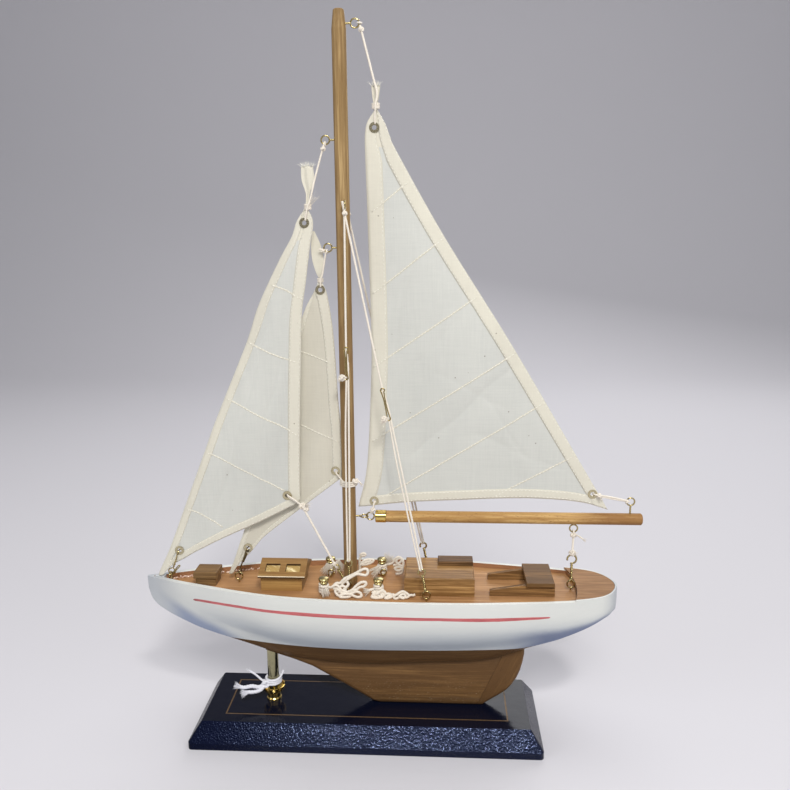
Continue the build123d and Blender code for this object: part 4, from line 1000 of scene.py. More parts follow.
    def seam(self, shape, line, luff_hem, leech_hem):
        """Two cloths lapped and sewn: a low puckered ridge, raised where it crosses the hems."""
        half, over, step, pucker = 0.30, 0.26, 0.8, 2.1
        path = spline([(x, 0, z) for x, z in line], step)
        for i, point in enumerate(path[1:-1]):
            point.z += (0.22 * sin(i * step / pucker * tau)
                        + 0.16 * noise.noise(Vector((point.x * 0.3, half, point.z * 0.3))))
        places, place = [], (0.5, 0.4)
        for point in path:
            place = self.locate(point.x, point.z, *place)
            places.append(place)
        on_hem = [across * self.width(rise) < luff_hem
                  or (1 - across) * self.width(rise) < leech_hem for across, rise in places]
        middles = [self.place(*place) for place in places]
        count = len(middles)
        points = []
        for i, middle in enumerate(middles):
            chord = middles[min(count - 1, i + 1)] - middles[max(0, i - 1)]
            side = Vector((0, 1, 0)).cross(chord).normalized()
            up = over if on_hem[i] else 0.0
            profile = [(-0.55, 0.10 + up), (-0.26, half + up), (0.26, half + up),
                       (0.55, 0.10 + up)]
            points += [middle + side * aside + Vector((0, -thick, 0)) for aside, thick in profile]
            points += [middle + side * aside + Vector((0, thick, 0))
                       for aside, thick in reversed(profile)]
        shape.loft(points, 8, caps=-1, slot=1)
        start = next((i for i, hem in enumerate(on_hem) if not hem), 0)
        end = count - next((i for i, hem in enumerate(reversed(on_hem)) if not hem), 0)
        for first, last, offset in ((0, start + 1, half + over), (start, end, half),
                                    (end - 1, count, half + over)):
            if last - first > 3:
                self.stitches(shape, places[first:last], offset, dash=1.6, gap=0.75,
                              half_width=0.26, height=0.24)

    def hems(self, shape, luff_hem, leech_hem, foot_hem, top, count):
        """Hems on all three edges, those of luff and leech up to the rise `top`."""
        def share(hem, rise):
            return min(hem, 0.44 * self.width(rise)) / max(1e-6, self.width(rise))

        def luff(part, depth):
            return share(luff_hem, part * top) * depth, part * top

        def leech(part, depth):
            return 1 - share(leech_hem, part * top) * depth, part * top
        foot = foot_hem / self.luff.length
        self.strip(shape, luff, count, 0.44)
        self.strip(shape, leech, count, 0.50)
        self.strip(shape, lambda part, depth: (0.004 + 0.992 * part, foot * depth), count, 0.38)
        # rows by the inner side of each hem, and by the outer edges of leech and foot
        parts = [i / 260 for i in range(261)]
        for edge, depth, offset in ((luff, 0.88, 0.44), (leech, 0.90, 0.50), (leech, 0.10, 0.49)):
            self.stitches(shape, [edge(part, depth) for part in parts], offset)
        for depth, offset in ((0.86, 0.38), (0.18, 0.37)):
            places = [(0.02 + 0.96 * part, foot * depth) for part in parts]
            self.stitches(shape, places, offset)


def wrinkle(x, z, seed, scale_x, scale_z):
    return noise.noise(Vector((x * scale_x + seed, seed * 1.7, z * scale_z)))


def creases(x, z, lines):
    """Soft-edged creases; each line is its start, end, height and half width."""
    total = 0.0
    for (start_x, start_z), (end_x, end_z), height, half in lines:
        run_x, run_z = end_x - start_x, end_z - start_z
        length = hypot(run_x, run_z)
        along = ((x - start_x) * run_x + (z - start_z) * run_z) / length
        off = ((x - start_x) * run_z - (z - start_z) * run_x) / length + 0.8 * sin(along * 0.13)
        total += (height * exp(-abs(off) / half) * ease(along, -6, 8)
                  * (1 - ease(along, length - 8, length + 6)))
    return total


# creases: (x, z) of the start, (x, z) of the end, height, half width
MAIN_CREASES = [
    ((28, 176), (92, 236), 0.55, 2.0), ((62, 192), (118, 168), 0.35, 2.2),
    ((30, 300), (18, 236), 0.35, 2.4), ((40, 228), (84, 206), 0.30, 1.8),
    ((12, 214), (60, 262), 0.30, 2.6), ((96, 176), (70, 214), 0.35, 1.6)]
JIB_CREASES = [
    ((-92, 134), (-52, 262), 0.55, 2.4), ((-74, 140), (-46, 238), 0.50, 2.2),
    ((-58, 150), (-44, 226), 0.35, 1.8), ((-104, 126), (-84, 180), 0.35, 2.0)]


def main_shape(across, rise, x, z):
    """Belly, folds, one long diagonal fold, pleats at the gathered head, and creases."""
    belly = (-3.2 * sin(pi * across) ** 0.9 * ease(rise, 0.0, 0.35)
             * (1 - ease(rise, 0.60, 0.93)))
    folds = 0.55 * wrinkle(x, z, 3.1, 0.035, 0.018) + 0.28 * wrinkle(x, z, 9.4, 0.11, 0.05)
    off = (x - 60) * 0.62 - (z - 205) * 0.78
    folds += 0.7 * exp(-(off / 9.0) ** 2) * ease(across, 0.1, 0.4) * ease(1 - across, 0.05, 0.3)
    pleats = 0.5 * sin(across * 9) * ease(rise, 0.955, 0.975)
    return belly + folds + pleats + creases(x, z, MAIN_CREASES)


def jib_shape(across, rise, x, z):
    """Belly, folds, upright folds falling from the head, pleats and creases."""
    belly = (-2.6 * sin(pi * min(1, across * 1.05)) * ease(rise, 0.05, 0.35)
             * (1 - ease(rise, 0.60, 0.90)))
    folds = 0.7 * wrinkle(x, z, 5.2, 0.05, 0.014) + 0.3 * wrinkle(x, z, 2.4, 0.14, 0.04)
    folds += (0.5 * sin((across * 3.1 + 0.3) * pi) * ease(rise, 0.25, 0.6)
              * (1 - ease(rise, 0.82, 0.95)))
    pleats = 0.45 * sin(across * 9) * ease(rise, 0.91, 0.95)
    return belly + folds + pleats + creases(x, z, JIB_CREASES)


def staysail_shape(across, rise, x, z):
    folds = 0.45 * wrinkle(x, z, 7.7, 0.06, 0.016) + 0.2 * wrinkle(x, z, 1.4, 0.16, 0.05)
    return (1.6 * sin(pi * across) * ease(rise, 0.08, 0.4) * (1 - ease(rise, 0.55, 0.85))
            + folds)


# outlines, grommets and seams are (x, z); luff and leech run upward, foot and seams aft
MAINSAIL = Sail(
    y=MAIN_Y, shape=main_shape, grommets=[(8.8, 362.6), (5.7, 148.4), (135.2, 154.1)],
    luff=[(-3.9, 144.6), (1.8, 171), (4.9, 221.9), (5.4, 254.6), (4.2, 320.4), (3.5, 351.9),
          (3.7, 359.5), (4.7, 364.8), (6.8, 368.4), (8.6, 371), (8.9, 373.6), (8, 378),
          (7.4, 384.4)],
    leech=[(144.5, 144.5), (127, 173.9), (86.6, 241.9), (47.6, 303.4), (21.5, 349),
           (17.4, 357.8), (15.2, 363.8), (12.9, 368), (11, 371), (10.6, 373.6), (11.4, 378),
           (12.3, 384.4)],
    foot=[(-3.9, 144.6), (1.6, 145.1), (25, 147.6), (58.3, 149.6), (91.2, 151.1),
          (115.8, 150.4), (132.1, 148.2), (144.5, 144.5)])
MAIN_SEAMS = [
    [(6.5, 317.7), (28.2, 334.1)], [(6.4, 272.4), (47.6, 303.5)], [(6, 230), (66.8, 271)],
    [(4.5, 185.5), (89.4, 238.9)], [(12.5, 151.6), (106, 209.5)], [(76.7, 151.8), (125, 178.2)]]
JIB = Sail(
    y=JIB_Y, shape=jib_shape, grommets=[(-31.1, 312.1), (-115.3, 115.4), (-46.7, 151.8)],
    luff=[(-129.8, 98.6), (-127.8, 103.5), (-121.2, 116.8), (-110.7, 142.4), (-96.2, 177.6),
          (-87, 200.2), (-67.4, 244.4), (-59.4, 265.8), (-46.8, 290.6), (-39.2, 303.5),
          (-37, 308.6), (-35.6, 312.6), (-33.2, 316.4), (-30.6, 318.8), (-29.9, 323.5),
          (-29.8, 328.5), (-31.8, 335), (-32, 342.6)],
    leech=[(-39, 149), (-38.6, 170), (-36.9, 210.7), (-35.5, 236.2), (-34, 262),
           (-31.2, 279.3), (-28.2, 299.4), (-26.6, 307.6), (-26.2, 312.6), (-27.2, 316.4),
           (-28.4, 318.8), (-28.1, 323.5), (-27.4, 328.5), (-25, 335), (-25.2, 342.6)],
    foot=[(-129.8, 98.6), (-127, 98.6), (-124.6, 101.6), (-119.2, 106.4), (-112, 110.4),
          (-104, 115.2), (-87.3, 123.9), (-64.1, 134.6), (-43.5, 145.4), (-39, 149)])
JIB_SEAMS = [
    [(-51.7, 277.8), (-43, 275), (-37.5, 271.5), (-32.6, 269.2)],
    [(-66.6, 244.6), (-59.1, 241.6), (-48.7, 236.7), (-36.2, 232.3)],
    [(-81.3, 211.4), (-71.4, 207.2), (-59.2, 200), (-49.2, 195.2), (-38.6, 188.5)],
    [(-95.3, 177.9), (-88.7, 176.1), (-73.3, 167.8), (-60.9, 161.1), (-47.8, 154.3)],
    [(-109.8, 142.1), (-103, 140.6), (-94, 135.5), (-87, 130.6)]]
STAYSAIL = Sail(
    y=STAYSAIL_Y, shape=staysail_shape,
    grommets=[(-23.8, 274.5), (-17.6, 166.2), (-73.3, 116.0)],
    luff=[(-86.4, 98.6), (-82.4, 108), (-78.1, 120), (-74.5, 129.9), (-56, 190), (-43, 236),
          (-33.4, 262.4), (-29, 270.6), (-26.4, 275.6), (-24.6, 279.2), (-24.4, 281),
          (-26, 284.5), (-28, 292), (-28.4, 300), (-27.2, 307.6)],
    leech=[(-14.2, 161.8), (-13.5, 167.5), (-13.9, 194.2), (-15, 210), (-16.1, 235.7),
           (-17.4, 254.4), (-20, 272), (-21.6, 276.4), (-22.8, 279.2), (-22.9, 281),
           (-22, 284), (-21.2, 290), (-22.6, 299), (-26.2, 307.6)],
    foot=[(-86.4, 98.6), (-84, 98.6), (-82.2, 101.8), (-78.2, 106.6), (-71.3, 113.8),
          (-63.6, 122.8), (-50.7, 133.4), (-33, 147.2), (-14.2, 161.8)])
STAYSAIL_SEAMS = [[(-40, 240), (-17.2, 231)], [(-52, 200), (-15, 184)], [(-66, 158), (-38, 145)]]


def sew(name, sail, body, cloth_name, cells, head, hems, hem_top, seams, trim=(0, 0, 0)):
    """Make a sail. hems are the widths on luff, leech and foot; trim moves each seam's start
    along x and its end along x and z."""
    shape = Shape()
    sail.sheet(shape, *cells, head)
    sail.hems(shape, *hems, hem_top, cells[1])
    for seam in seams:
        (start_x, start_z), (end_x, end_z) = seam[0], seam[-1]
        line = [(start_x + trim[0], start_z), *seam[1:-1], (end_x + trim[1], end_z + trim[2])]
        sail.seam(shape, line, *hems[:2])
    shape.finish(name + "_cloth", cloth_name + " sail_hem_cloth stitch_thread", body,
                 "sailcloth", name)


def frayed_head(name, body, start, pitch, lean, length, count, spread, seed):
    """Tufts side by side on top of a gathered head; lean is (per tuft, tuft that is upright)."""
    x, y, z = start
    tufts = Shape()
    for k in range(8 if body == "jib" else 7):
        tufts.fray((x + k * pitch, y, z), (lean[0] * (k - lean[1]), 0.1 * (k % 2), 1), length,
                   count, spread, radius=0.08, seed=seed + k, root=0.3)
    tufts.finish(name, "stitch_thread", body, "sailcloth")


sew("mainsail", MAINSAIL, "boom", "sail_single_cloth", cells=(116, 190), head=32.0,
    hems=(9.6, 9.4, 6.4), hem_top=0.955, seams=MAIN_SEAMS, trim=(0.5, -0.8, -0.4))
sew("jib", JIB, "jib", "sail_single_cloth", cells=(84, 190), head=40.0,
    hems=(8.8, 8.6, 7.0), hem_top=0.90, seams=JIB_SEAMS, trim=(0.7, -0.5, 0.3))
sew("staysail", STAYSAIL, "hull", "staysail_cloth", cells=(60, 170), head=24.0,
    hems=(7.0, 7.4, 6.4), hem_top=0.855, seams=STAYSAIL_SEAMS)
frayed_head("mainsail_frayed_head", "boom", (7.9, MAIN_Y, 384), pitch=0.6, lean=(0.1, 3),
            length=2.6, count=6, spread=0.5, seed=40)
frayed_head("jib_frayed_head", "jib", (-31.3, JIB_Y, 342.2), pitch=0.78, lean=(0.12, 3.5),
            length=2.8, count=7, spread=0.6, seed=60)


# ---- rigging

def deck_eye(x, y):
    return Vector((x, y, DECK + EYE_RISE))


# name, x and y of the deck eye, height of the bowsie
SHROUDS = [("port_fwd", -10.0, -9.5, 233.5), ("starboard_fwd", -10.0, 9.5, 233.5),
           ("port_aft", 37.5, -21.0, 211.0), ("starboard_aft", 37.5, 21.0, 211.0)]
SHROUD_HOOK = 14.0     # length of a shroud's hook
BOWSIE_HALF = 8.2      # from the middle of a bowsie to the centre of each of its eyes


def shroud(cords, hooks, name, x, y, bowsie_z):
    """Hook, standing cord, wire bowsie with its knot, and hauling tail of one shroud."""
    side = -1 if y < 0 else 1
    foot = deck_eye(x, y)
    if name.endswith("fwd"):
        foot += Vector((0.45, 0, -0.1))
    head = Vector((-7.7, side * 7.9, 317.6))
    hooks.hook(foot, head, SHROUD_HOOK)
    one, two, axis = basis(head - foot)
    out = Vector((0, side, 0))
    hook_top = foot + axis * (SHROUD_HOOK + 1.6)
    middle = hook_top.lerp(head, (bowsie_z - hook_top.z) / (head.z - hook_top.z))
    high, low = middle + axis * BOWSIE_HALF, middle - axis * BOWSIE_HALF
    # standing part, from the mast eye through the bowsie to the hook
    eye = Vector((-7.67, side * 7.07, 321.5))
    cords.cord(0.58, [
        eye + Vector((0.4, side * 0.6, -1.4)), eye + Vector((0.2, side * 1.1, -2.6)),
        head + axis * -2, high + axis * 3, middle + axis * 5 + one * 0.55, middle + one * 0.8,
        low + one * 1.1, hook_top.lerp(low, 0.3) + one * 0.9, hook_top + one * 0.6])
    cords.eye_turn(0.5, eye + Vector((0, 0, -2.3)), CROSSWISE, 1.0)
    cords.knot(eye + Vector((0.3, side * 1.4, -4.6)), 1.25, 0.42, axis, seed=3)
    # turn through the hook's upper loop
    loop = foot + axis * (SHROUD_HOOK + 2.0)
    cords.cord(0.5, [
        hook_top + one * 0.6 + axis * 1.5, loop + one * 0.6 + two * 0.8,
        loop - axis * 1.0 + two * 0.9, loop + one * -0.6 + two * -0.6,
        hook_top - one * 0.6 + axis * 1.5])
    # bowsie: a long wire hairpin with an eye at each end
    body = "bowsie_" + name
    lift = out * 0.55
    bowsie = Shape()
    eyes = [arc(end + lift, (one, axis), 1.15, radians(start), radians(start + 270), 9)
            for end, start in ((high, -60), (low, 120))]
    bowsie.wire(0.36, [
        *eyes[0], middle + lift + axis * 3 - one * 0.42, middle + lift - axis * 3 - one * 0.42,
        *eyes[1], middle + lift - axis * 3 + one * 0.42, middle + lift + axis * 3 + one * 0.42],
        0.35, closed=True)
    bowsie.finish(body + "_wire", "bowsie_wire", body, "bronzed_wire", body)
    # knot with a frayed end at the bowsie's lower eye
    knot = Shape()
    centre = low - one * 2.3 + out * 0.7
    knot.cord(0.5, [low + lift + one * 0.2, low + lift - one * 0.8 + axis * 0.3, centre])
    knot.knot(centre, 1.9, 0.55, axis, seed=5)
    knot.fray(centre - axis * 0.6 - one, -one - axis * 0.8, count=18, spread=0.6, seed=7)
    knot.finish(body + "_knot", "cotton_cord", body, "white_cord")
    # hauling part from the bowsie's lower eye to the hook
    tail = Shape()
    tail.cord(0.52, [
        low + lift * 0.6 - axis * 1.2, low.lerp(hook_top, 0.3) - one * 0.9,
        hook_top.lerp(low, 0.3) - one * 0.9, hook_top - one * 0.6 + axis * 0.5])
    made = tail.finish("shroud_tail_" + name, "cotton_cord", slot="white_cord")
    tuple((hook_top + axis * 4) * MILLI)
    tuple((low - axis * 2) * MILLI)
    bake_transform(made)


def shrouds():
    cords, hooks = Shape(), Shape()
    for row in SHROUDS:
        shroud(cords, hooks, *row)
    cords.finish("shroud_cords", "cotton_cord", "hull", "white_cord", "shroud_lines")
    hooks.finish("shroud_wire_hooks", "bronzed_wire", "hull", "bronzed_wire", "shroud_hooks")


def main_halyard():
    """Thread round the mainsail's gathered head, and a cord to the mast's top eye."""
    rope = Shape()
    rope.whipping(0.42, (9.75, MAIN_Y, 372.6), turns=4, pitch=0.75, half_x=1.9, half_y=1.25)
    rope.cord(0.62, [(9.6, -1.2, 371.2), (9.7, -1.7, 374.2), (10.6, -1.3, 380), (8.4, -0.6, 389),
                     (4.6, 0, 404), (2.3, 0, 413), (1.5, 0.5, 416)])
    rope.cord(0.5, [(9.3, -0.6, 364.4), (9.2, -1, 368), (9.6, -1.4, 372)])
    rope.eye_turn(0.5, (1.6, 0, 415.8), FLAT, 1.05)
    rope.knot((2.5, 0, 412.6), 1.35, 0.45, (-0.3, 0, 1), seed=2)
    rope.finish("main_halyard_cord", "cotton_cord", "boom", "white_cord", "main_halyard")


def tack_lashing():
    """From the mainsail's tack eyelet round the boom's ferrule."""
    rope = Shape()
    for aside in (0.0, 0.9):
        low_x = 4.4 + aside * 0.3
        rope.cord(0.5, [(5.7, 0.9, 148.4), (5.7 + aside, 0, 147.9), (5.7, -1, 147.4),
                        (5.2, -1.6, 145), (4.7 + aside * 0.4, -1.5, 142.4), (low_x, -0.9, 140.4)])
        rope.cord(0.5, [(5.7, 0.9, 148.4), (5.4, 1.5, 145), (4.7, 1.2, 142.4),
                        (low_x, 0.9, 140.4)])
    rope.knot((4.9, -1.9, 143.6), 1.3, 0.45, (0, 1, 0.3), seed=8)
    rope.fray((4.6, -2.3, 143), (-0.5, -0.7, -0.8), seed=5)
    rope.finish("tack_lashing_cord", "cotton_cord", "boom", "white_cord", "tack_lashing")


def clew_lashing():
    """Three parts from the mainsail's clew to the eye on the boom."""
    rope = Shape()
    for k, (aside, lift) in enumerate(((-0.7, 0.5), (0.7, 0.1), (-0.3, -0.5))):
        rope.cord(0.5, [
            (135.6, 0.9 - k * 0.2, 154.1 - k * 0.3),
            (135.9 + 0.6 * k, aside * 0.2, 154 - k * 0.3),
            (137.6, -1.2 + aside * 0.3, 153.7 + lift * 0.4), (146, aside * 0.7, 151.9 + lift),
            (154.3, aside * 0.6, 150.2 + lift * 0.5), (155.9, aside * 1.1, 149.7),
            (156.8, -aside * 0.3, 149.4)])
    rope.eye_turn(0.48, (155.4, 0, 149.6), ((0.3, 0, 1), (0, 1, 0)), 1.0)
    rope.knot((138.9, -1.2, 153.5), 1.5, 0.5, (1, 0, -0.2), seed=4)
    rope.fray((139.2, -1.7, 152.9), (0.5, -0.5, -1), seed=3)
    rope.finish("clew_lashing_cord", "cotton_cord", "boom", "white_cord", "clew_lashing")


def mainsheet():
    rope = Shape()
    eye = Vector((125.0, 0, 132.4))
    rope.eye_turn(0.55, eye + Vector((0, 0, -2.3)), CROSSWISE, 1.05)
    rope.cord(0.66, [eye + Vector((0, -0.4, -3.2)), (124.9, -0.8, 127.5), (124.7, -1.6, 122),
                     (124.4, -2.5, 118), (124.3, -2.8, 116.2)])
    rope.knot((124.95, -0.5, 128.2), 1.6, 0.52, seed=1)
    # the loose tail lies out to port, so it passes beside the boom when the sheet is lifted
    rope.cord(0.5, [(125.4, -0.8, 128.4), (127, -2.9, 129), (128.6, -5, 128.6),
                    (129.9, -5.9, 128)])
    rope.fray((129.7, -5.9, 128), (1, -0.35, -0.4), length=2.4, spread=0.4, seed=12)
    rope.knot((124.35, -2.8, 117.9), 1.9, 0.55, seed=6)
    rope.fray((125.6, -3.1, 117.6), (1, -0.2, -0.3), length=2.2, count=14, spread=0.6, seed=13)
    rope.finish("mainsheet_cord", "cotton_cord", "mainsheet", "white_cord", "mainsheet")
    hook = Shape()
    ring = deck_eye(124.2, -2.8)
    hook.hook(ring, ring + Vector((0, 0, 30)), 16.0, top=2.7, gap=75)
    hook.finish("mainsheet_wire_hook", "bronzed_wire", "mainsheet", "bronzed_wire",
                "mainsheet_hook")


def jib_halyard():
    rope = Shape()
    rope.whipping(0.42, (-28.9, JIB_Y, 319.6), turns=4, pitch=0.8, half_x=1.75, half_y=1.2)
    rope.cord(0.55, [(-30.4, -2.3, 313.4), (-29.8, -2.9, 316.6), (-28.9, -3.1, 320.5),
                     (-27.2, -2.6, 325), (-25, -1.5, 334), (-21.5, -0.4, 346.5),
                     (-19.2, -0.2, 353.8), (-18.6, 0.3, 355.6)])
    rope.eye_turn(0.46, (-18.4, 0, 354.4), CROSSWISE, 1.0)
    rope.knot((-19.6, -0.3, 351.8), 1.2, 0.42, (0.3, 0, 1), seed=9)
    rope.fray((-27.8, -2.4, 321.4), (0.85, -0.1, 1.1), length=8.0, spread=0.22, radius=0.07,
              seed=21)
    rope.finish("jib_halyard_cord", "cotton_cord", "jib", "white_cord", "jib_halyard")


def tack_ring(shape, centre, axes, start):
    """A nearly closed wire ring in a deck eye; start is its first angle in degrees."""
    shape.wire(0.4, arc(centre, axes, 2.1, radians(start), radians(start + 350), 28), 0.5)


def jib_tack_hook():
    hook = Shape()
    eye = deck_eye(-122.7, 0)
    tack_ring(hook, (eye.x + 1.0, 0, eye.z + 2.75), LENGTHWISE, 75)
    hook.wire(0.4, [(-120.9, 0, 103.1), (-119.6, -2.2, 105), (-117.4, -3.3, 110),
                    (-116.4, -3.4, 113.6), (-115.9, -2.9, 115), (-115.3, -1.4, 115.6),
                    (-114.9, 0, 115)], 0.4)
    hook.wire(0.26, helix((-120.2, -1.2, 104), (-117.6, -3.2, 109.4), 0.5, 2.4), 0.3, sides=6)
    # end of the wire bent back beside the eye
    hook.wire(0.36, [(-121.4, -0.4, 98.8), (-119.6, -1.4, 100.8), (-116.2, -2.2, 104.4),
                     (-115.6, -2.2, 105.4), (-116.4, -2.2, 105.5), (-119, -1.6, 102.4),
                     (-121, -0.9, 100)], 0.4)
    hook.finish("jib_tack_wire_hook", "bronzed_wire", "jib", "bronzed_wire", "jib_tack_hook")


def jib_sheet():
    """A hook leaning forward from the port forward eye, and the cord from it to the clew."""
    eye = deck_eye(-10.0, -9.5)
    lean = Vector((-0.53, 0.03, 0.85)).normalized()
    hook = Shape()
    base = eye + Vector((-0.05, 0, -0.05))
    # the hook aims at a point on the leaning line through the eye itself
    hook.hook(base, eye + lean * 20, 13.0, low=2.1, top=1.8)
    hook.finish("jib_sheet_wire_hook", "bronzed_wire", "hull", "bronzed_wire", "jib_sheet_hook")
    rope = Shape()
    low = eye + lean * 14.4
    knot = Vector((-37.2, -4.6, 146.0))
    rope.cord(0.55, [(-46.4, 0.2, 151.8), (-46.2, -1.6, 151.3), (-45.2, -3, 150.9),
                     (-41, -4.2, 148.6), knot])
    rope.cord(0.5, [(-46.9, -1.6, 152.2), (-45.6, -3.2, 151.8), (-41.2, -4.6, 149.4), knot])
    rope.knot(knot, 1.9, 0.6, (0.5, 0, -0.8), seed=14)
    rope.knot(knot + Vector((2.2, -0.3, -1.6)), 1.6, 0.55, (0.3, 0.4, -0.8), seed=15)
    rope.fray(knot + Vector((1.8, -0.9, 0.4)), (0.9, -0.3, 0.6), length=4.6, count=26,
              spread=0.45, seed=16)
    rope.cord(0.66, [knot, knot.lerp(low, 0.3), knot.lerp(low, 0.7), low, low - lean * 1.2])
    rope.knot(low + lean * 1.2, 1.2, 0.42, lean, seed=17)
    made = rope.finish("jib_sheet_cord", "cotton_cord", None, "white_cord", "jib_sheet")
    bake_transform(made)


def staysail_halyard():
    rope = Shape()
    rope.whipping(0.4, (-23.6, STAYSAIL_Y, 279.2), turns=3, pitch=0.8, half_x=1.55, half_y=1.15)
    rope.cord(0.5, [(-23.5, 2, 276.2), (-23.3, 1.4, 279.6), (-22, 1.1, 284), (-20.6, 0.5, 291),
                    (-19.6, 0.1, 296)])
    rope.eye_turn(0.45, (-19.0, 0, 296.2), CROSSWISE, 1.0)
    rope.knot((-20.9, 0.2, 296.6), 1.2, 0.42, (0.3, 0, 1), seed=19)
    rope.cord(0.42, [(-21.2, 0.2, 296.8), (-22.6, -0.2, 297.6), (-23.6, -0.4, 297.2)])
    rope.finish("staysail_halyard_cord", "cotton_cord", "hull", "white_cord", "staysail_halyard")


def staysail_tack_hook():
    hook = Shape()
    eye = deck_eye(-79.5, 0.6)
    tack_ring(hook, (eye.x + 0.9, eye.y, eye.z + 3.12), CROSSWISE, 80)
    hook.wire(0.4, [(-78.6, 0.6, 103), (-77.2, 0.2, 106.6), (-75.4, 0, 111.4),
                    (-74.4, 0.2, 114.4), (-73.8, 0.9, 116), (-73.2, 2.4, 116.6),
                    (-72.8, 3.8, 116)], 0.4)
    hook.wire(0.34, [(-77.8, 0.2, 104.6), (-76, -0.6, 109), (-74.2, -0.5, 113),
                     (-73.4, -0.4, 113.6), (-73.8, -0.5, 112.4), (-76, -0.4, 107.6)], 0.4)
    hook.finish("staysail_tack_wire_hook", "dark_wire", "hull", "bronzed_wire",
                "staysail_tack_hook")


def staysail_clew():
    """Three turns round the mast, and two parts to the staysail's clew."""
    rope = Shape()
    for k in range(3):
        centre = (MAST_X, 0, 158.6 + k * 1.15)
        rope.cord(0.55, arc(centre, FLAT, 4.75, 0.2 + k, 0.2 + k + tau, 40))
    rope.cord(0.5, [(-17.4, 3.6, 166), (-17.2, 2.4, 165.4), (-16.8, 1.2, 164.6),
                    (-14.4, -0.6, 162.6), (-12.4, -3.6, 161.4), (-9, -4.8, 160.6)])
    rope.cord(0.5, [(-17.9, 3.6, 166), (-16.4, 3.7, 163.6), (-13.8, 3.9, 161.6),
                    (-11, 4.6, 160.4)])
    rope.knot((-5.2, -3.2, 161.6), 1.9, 0.55, (1, -0.5, 0), seed=22)
    rope.cord(0.5, [(-5, -3.4, 161.2), (-3.2, -4, 161.8), (-1.8, -4.4, 160.6)])
    rope.fray((-2.2, -4.3, 160.9), (0.7, -0.2, -0.8), seed=23)
    rope.finish("staysail_clew_cord", "cotton_cord", "hull", "white_cord",
                "staysail_clew_lashing")


shrouds()
main_halyard()
tack_lashing()
clew_lashing()
mainsheet()
jib_halyard()
jib_tack_hook()
jib_sheet()
staysail_halyard()
staysail_tack_hook()
staysail_clew()

# ---- rope on deck; every height in these tables is above the deck

BOLLARDS = [(-24.0, -14.8), (8.8, -14.8), (-24.0, 15.0), (8.8, 15.0)]
# base, direction, length, count, spread, radius, seed, root radius
TASSELS = [
    ((-23.6, -16.8, 5.4), (0.22, -0.30, -1), 5.2, 80, 0.34, 0.15, 31, 1.5),
    ((3.4, -16.9, 4.2), (-1.0, -0.2, -0.25), 3.4, 60, 0.5, 0.13, 32, 0.9),
    ((-24.8, 13.0, 7.4), (-0.35, -0.35, -0.95), 6.8, 110, 0.45, 0.10, 33, 1.5),
    ((-19.4, 13.2, 9.6), (0.35, -0.25, -0.9), 7.0, 110, 0.36, 0.10, 34, 1.5),
    ((8.2, 12.5, 6.8), (-0.75, -0.25, -0.62), 8.2, 110, 0.30, 0.11, 35, 1.2),
    ((12.2, 14.9, 8.0), (0.35, 0.05, 0.95), 5.4, 120, 0.62, 0.08, 36, 1.3)]
ROPE_RADIUS = 0.80
THIN_ROPE_RADIUS = 0.72
# lengths of rope laid on the deck: (x, y, height) points
MAST_PORT_HEAP = [
    [(-12.3, -13, 9.5), (-8.4, -13, 11.4), (-5, -13.2, 13.3), (-2.4, -13.4, 15), (0.1, -13.6, 16.3),
     (2, -13.8, 16.2), (2.5, -14.2, 14.3), (1.2, -14.4, 12.8), (-1.5, -14.2, 13), (-4.1, -14, 13.2),
     (-7, -14, 11.6), (-10.4, -14.4, 9.4), (-13.6, -14.6, 6.6)],
    [(-10.6, -16.6, 2.6), (-8.2, -17.2, 3.6), (-6.4, -17, 4.7), (-5.2, -16.6, 5.9),
     (-3.5, -16.2, 7.5), (-1.5, -15.8, 8.7), (0.8, -15.6, 8.9), (1.5, -15.8, 7.9), (0, -16.2, 6.3),
     (-2.3, -16.6, 6), (-3.9, -17, 4.8), (-6.2, -17.8, 4.2)],
    [(-3.9, -17.6, 3.7), (-6.3, -18.2, 3.1), (-8, -19, 1.2), (-10.4, -19.6, 0.3),
     (-13.4, -19.6, 0.4), (-13.8, -19, 1.1), (-11.8, -18.6, 2.2), (-8, -18.8, 2.4),
     (-3.8, -19.2, 0.9), (-1.3, -19, 1.3), (-1.7, -18.2, 3), (-4.7, -17.6, 3.6), (-8.4, -17.4, 2.4)],
    [(-10.8, -14.5, 10.7), (-12.9, -14.8, 9), (-14.2, -15, 7.7), (-16.3, -15, 7.6), (-18, -15.4, 6),
     (-17.5, -16, 4.5), (-15, -15.6, 5.2), (-12.5, -15.4, 6.1), (-10.8, -16, 4.6),
     (-12.4, -16.4, 3), (-15.6, -16.4, 2.2)],
    [(-17.1, -16.4, 3.8), (-16.6, -17.2, 2.4), (-14.8, -18.2, 1.1), (-12.7, -17.8, 1.8),
     (-14.5, -17, 3.2), (-15.8, -16.2, 4.6), (-13.2, -16.6, 3.9), (-10.7, -17, 3.3),
     (-9.4, -17.6, 2.3)],
    [(-21.6, -15.2, 5), (-19.6, -16, 5.3), (-18.3, -16.2, 6.1), (-17, -16, 6.7), (-15.4, -16, 6.3),
     (-14.1, -16.6, 4.8), (-12.3, -17.2, 3.4), (-10.6, -17.8, 2.3), (-13.1, -17.6, 2.6),
     (-14.9, -17, 4.1), (-17.2, -15, 3)],
    [(-16.8, -14, 4), (-13.4, -13.6, 7.2), (-10.8, -14, 8.4), (-9.2, -15, 7), (-10.6, -16, 5.4),
     (-13.6, -15.8, 2.2)],
]
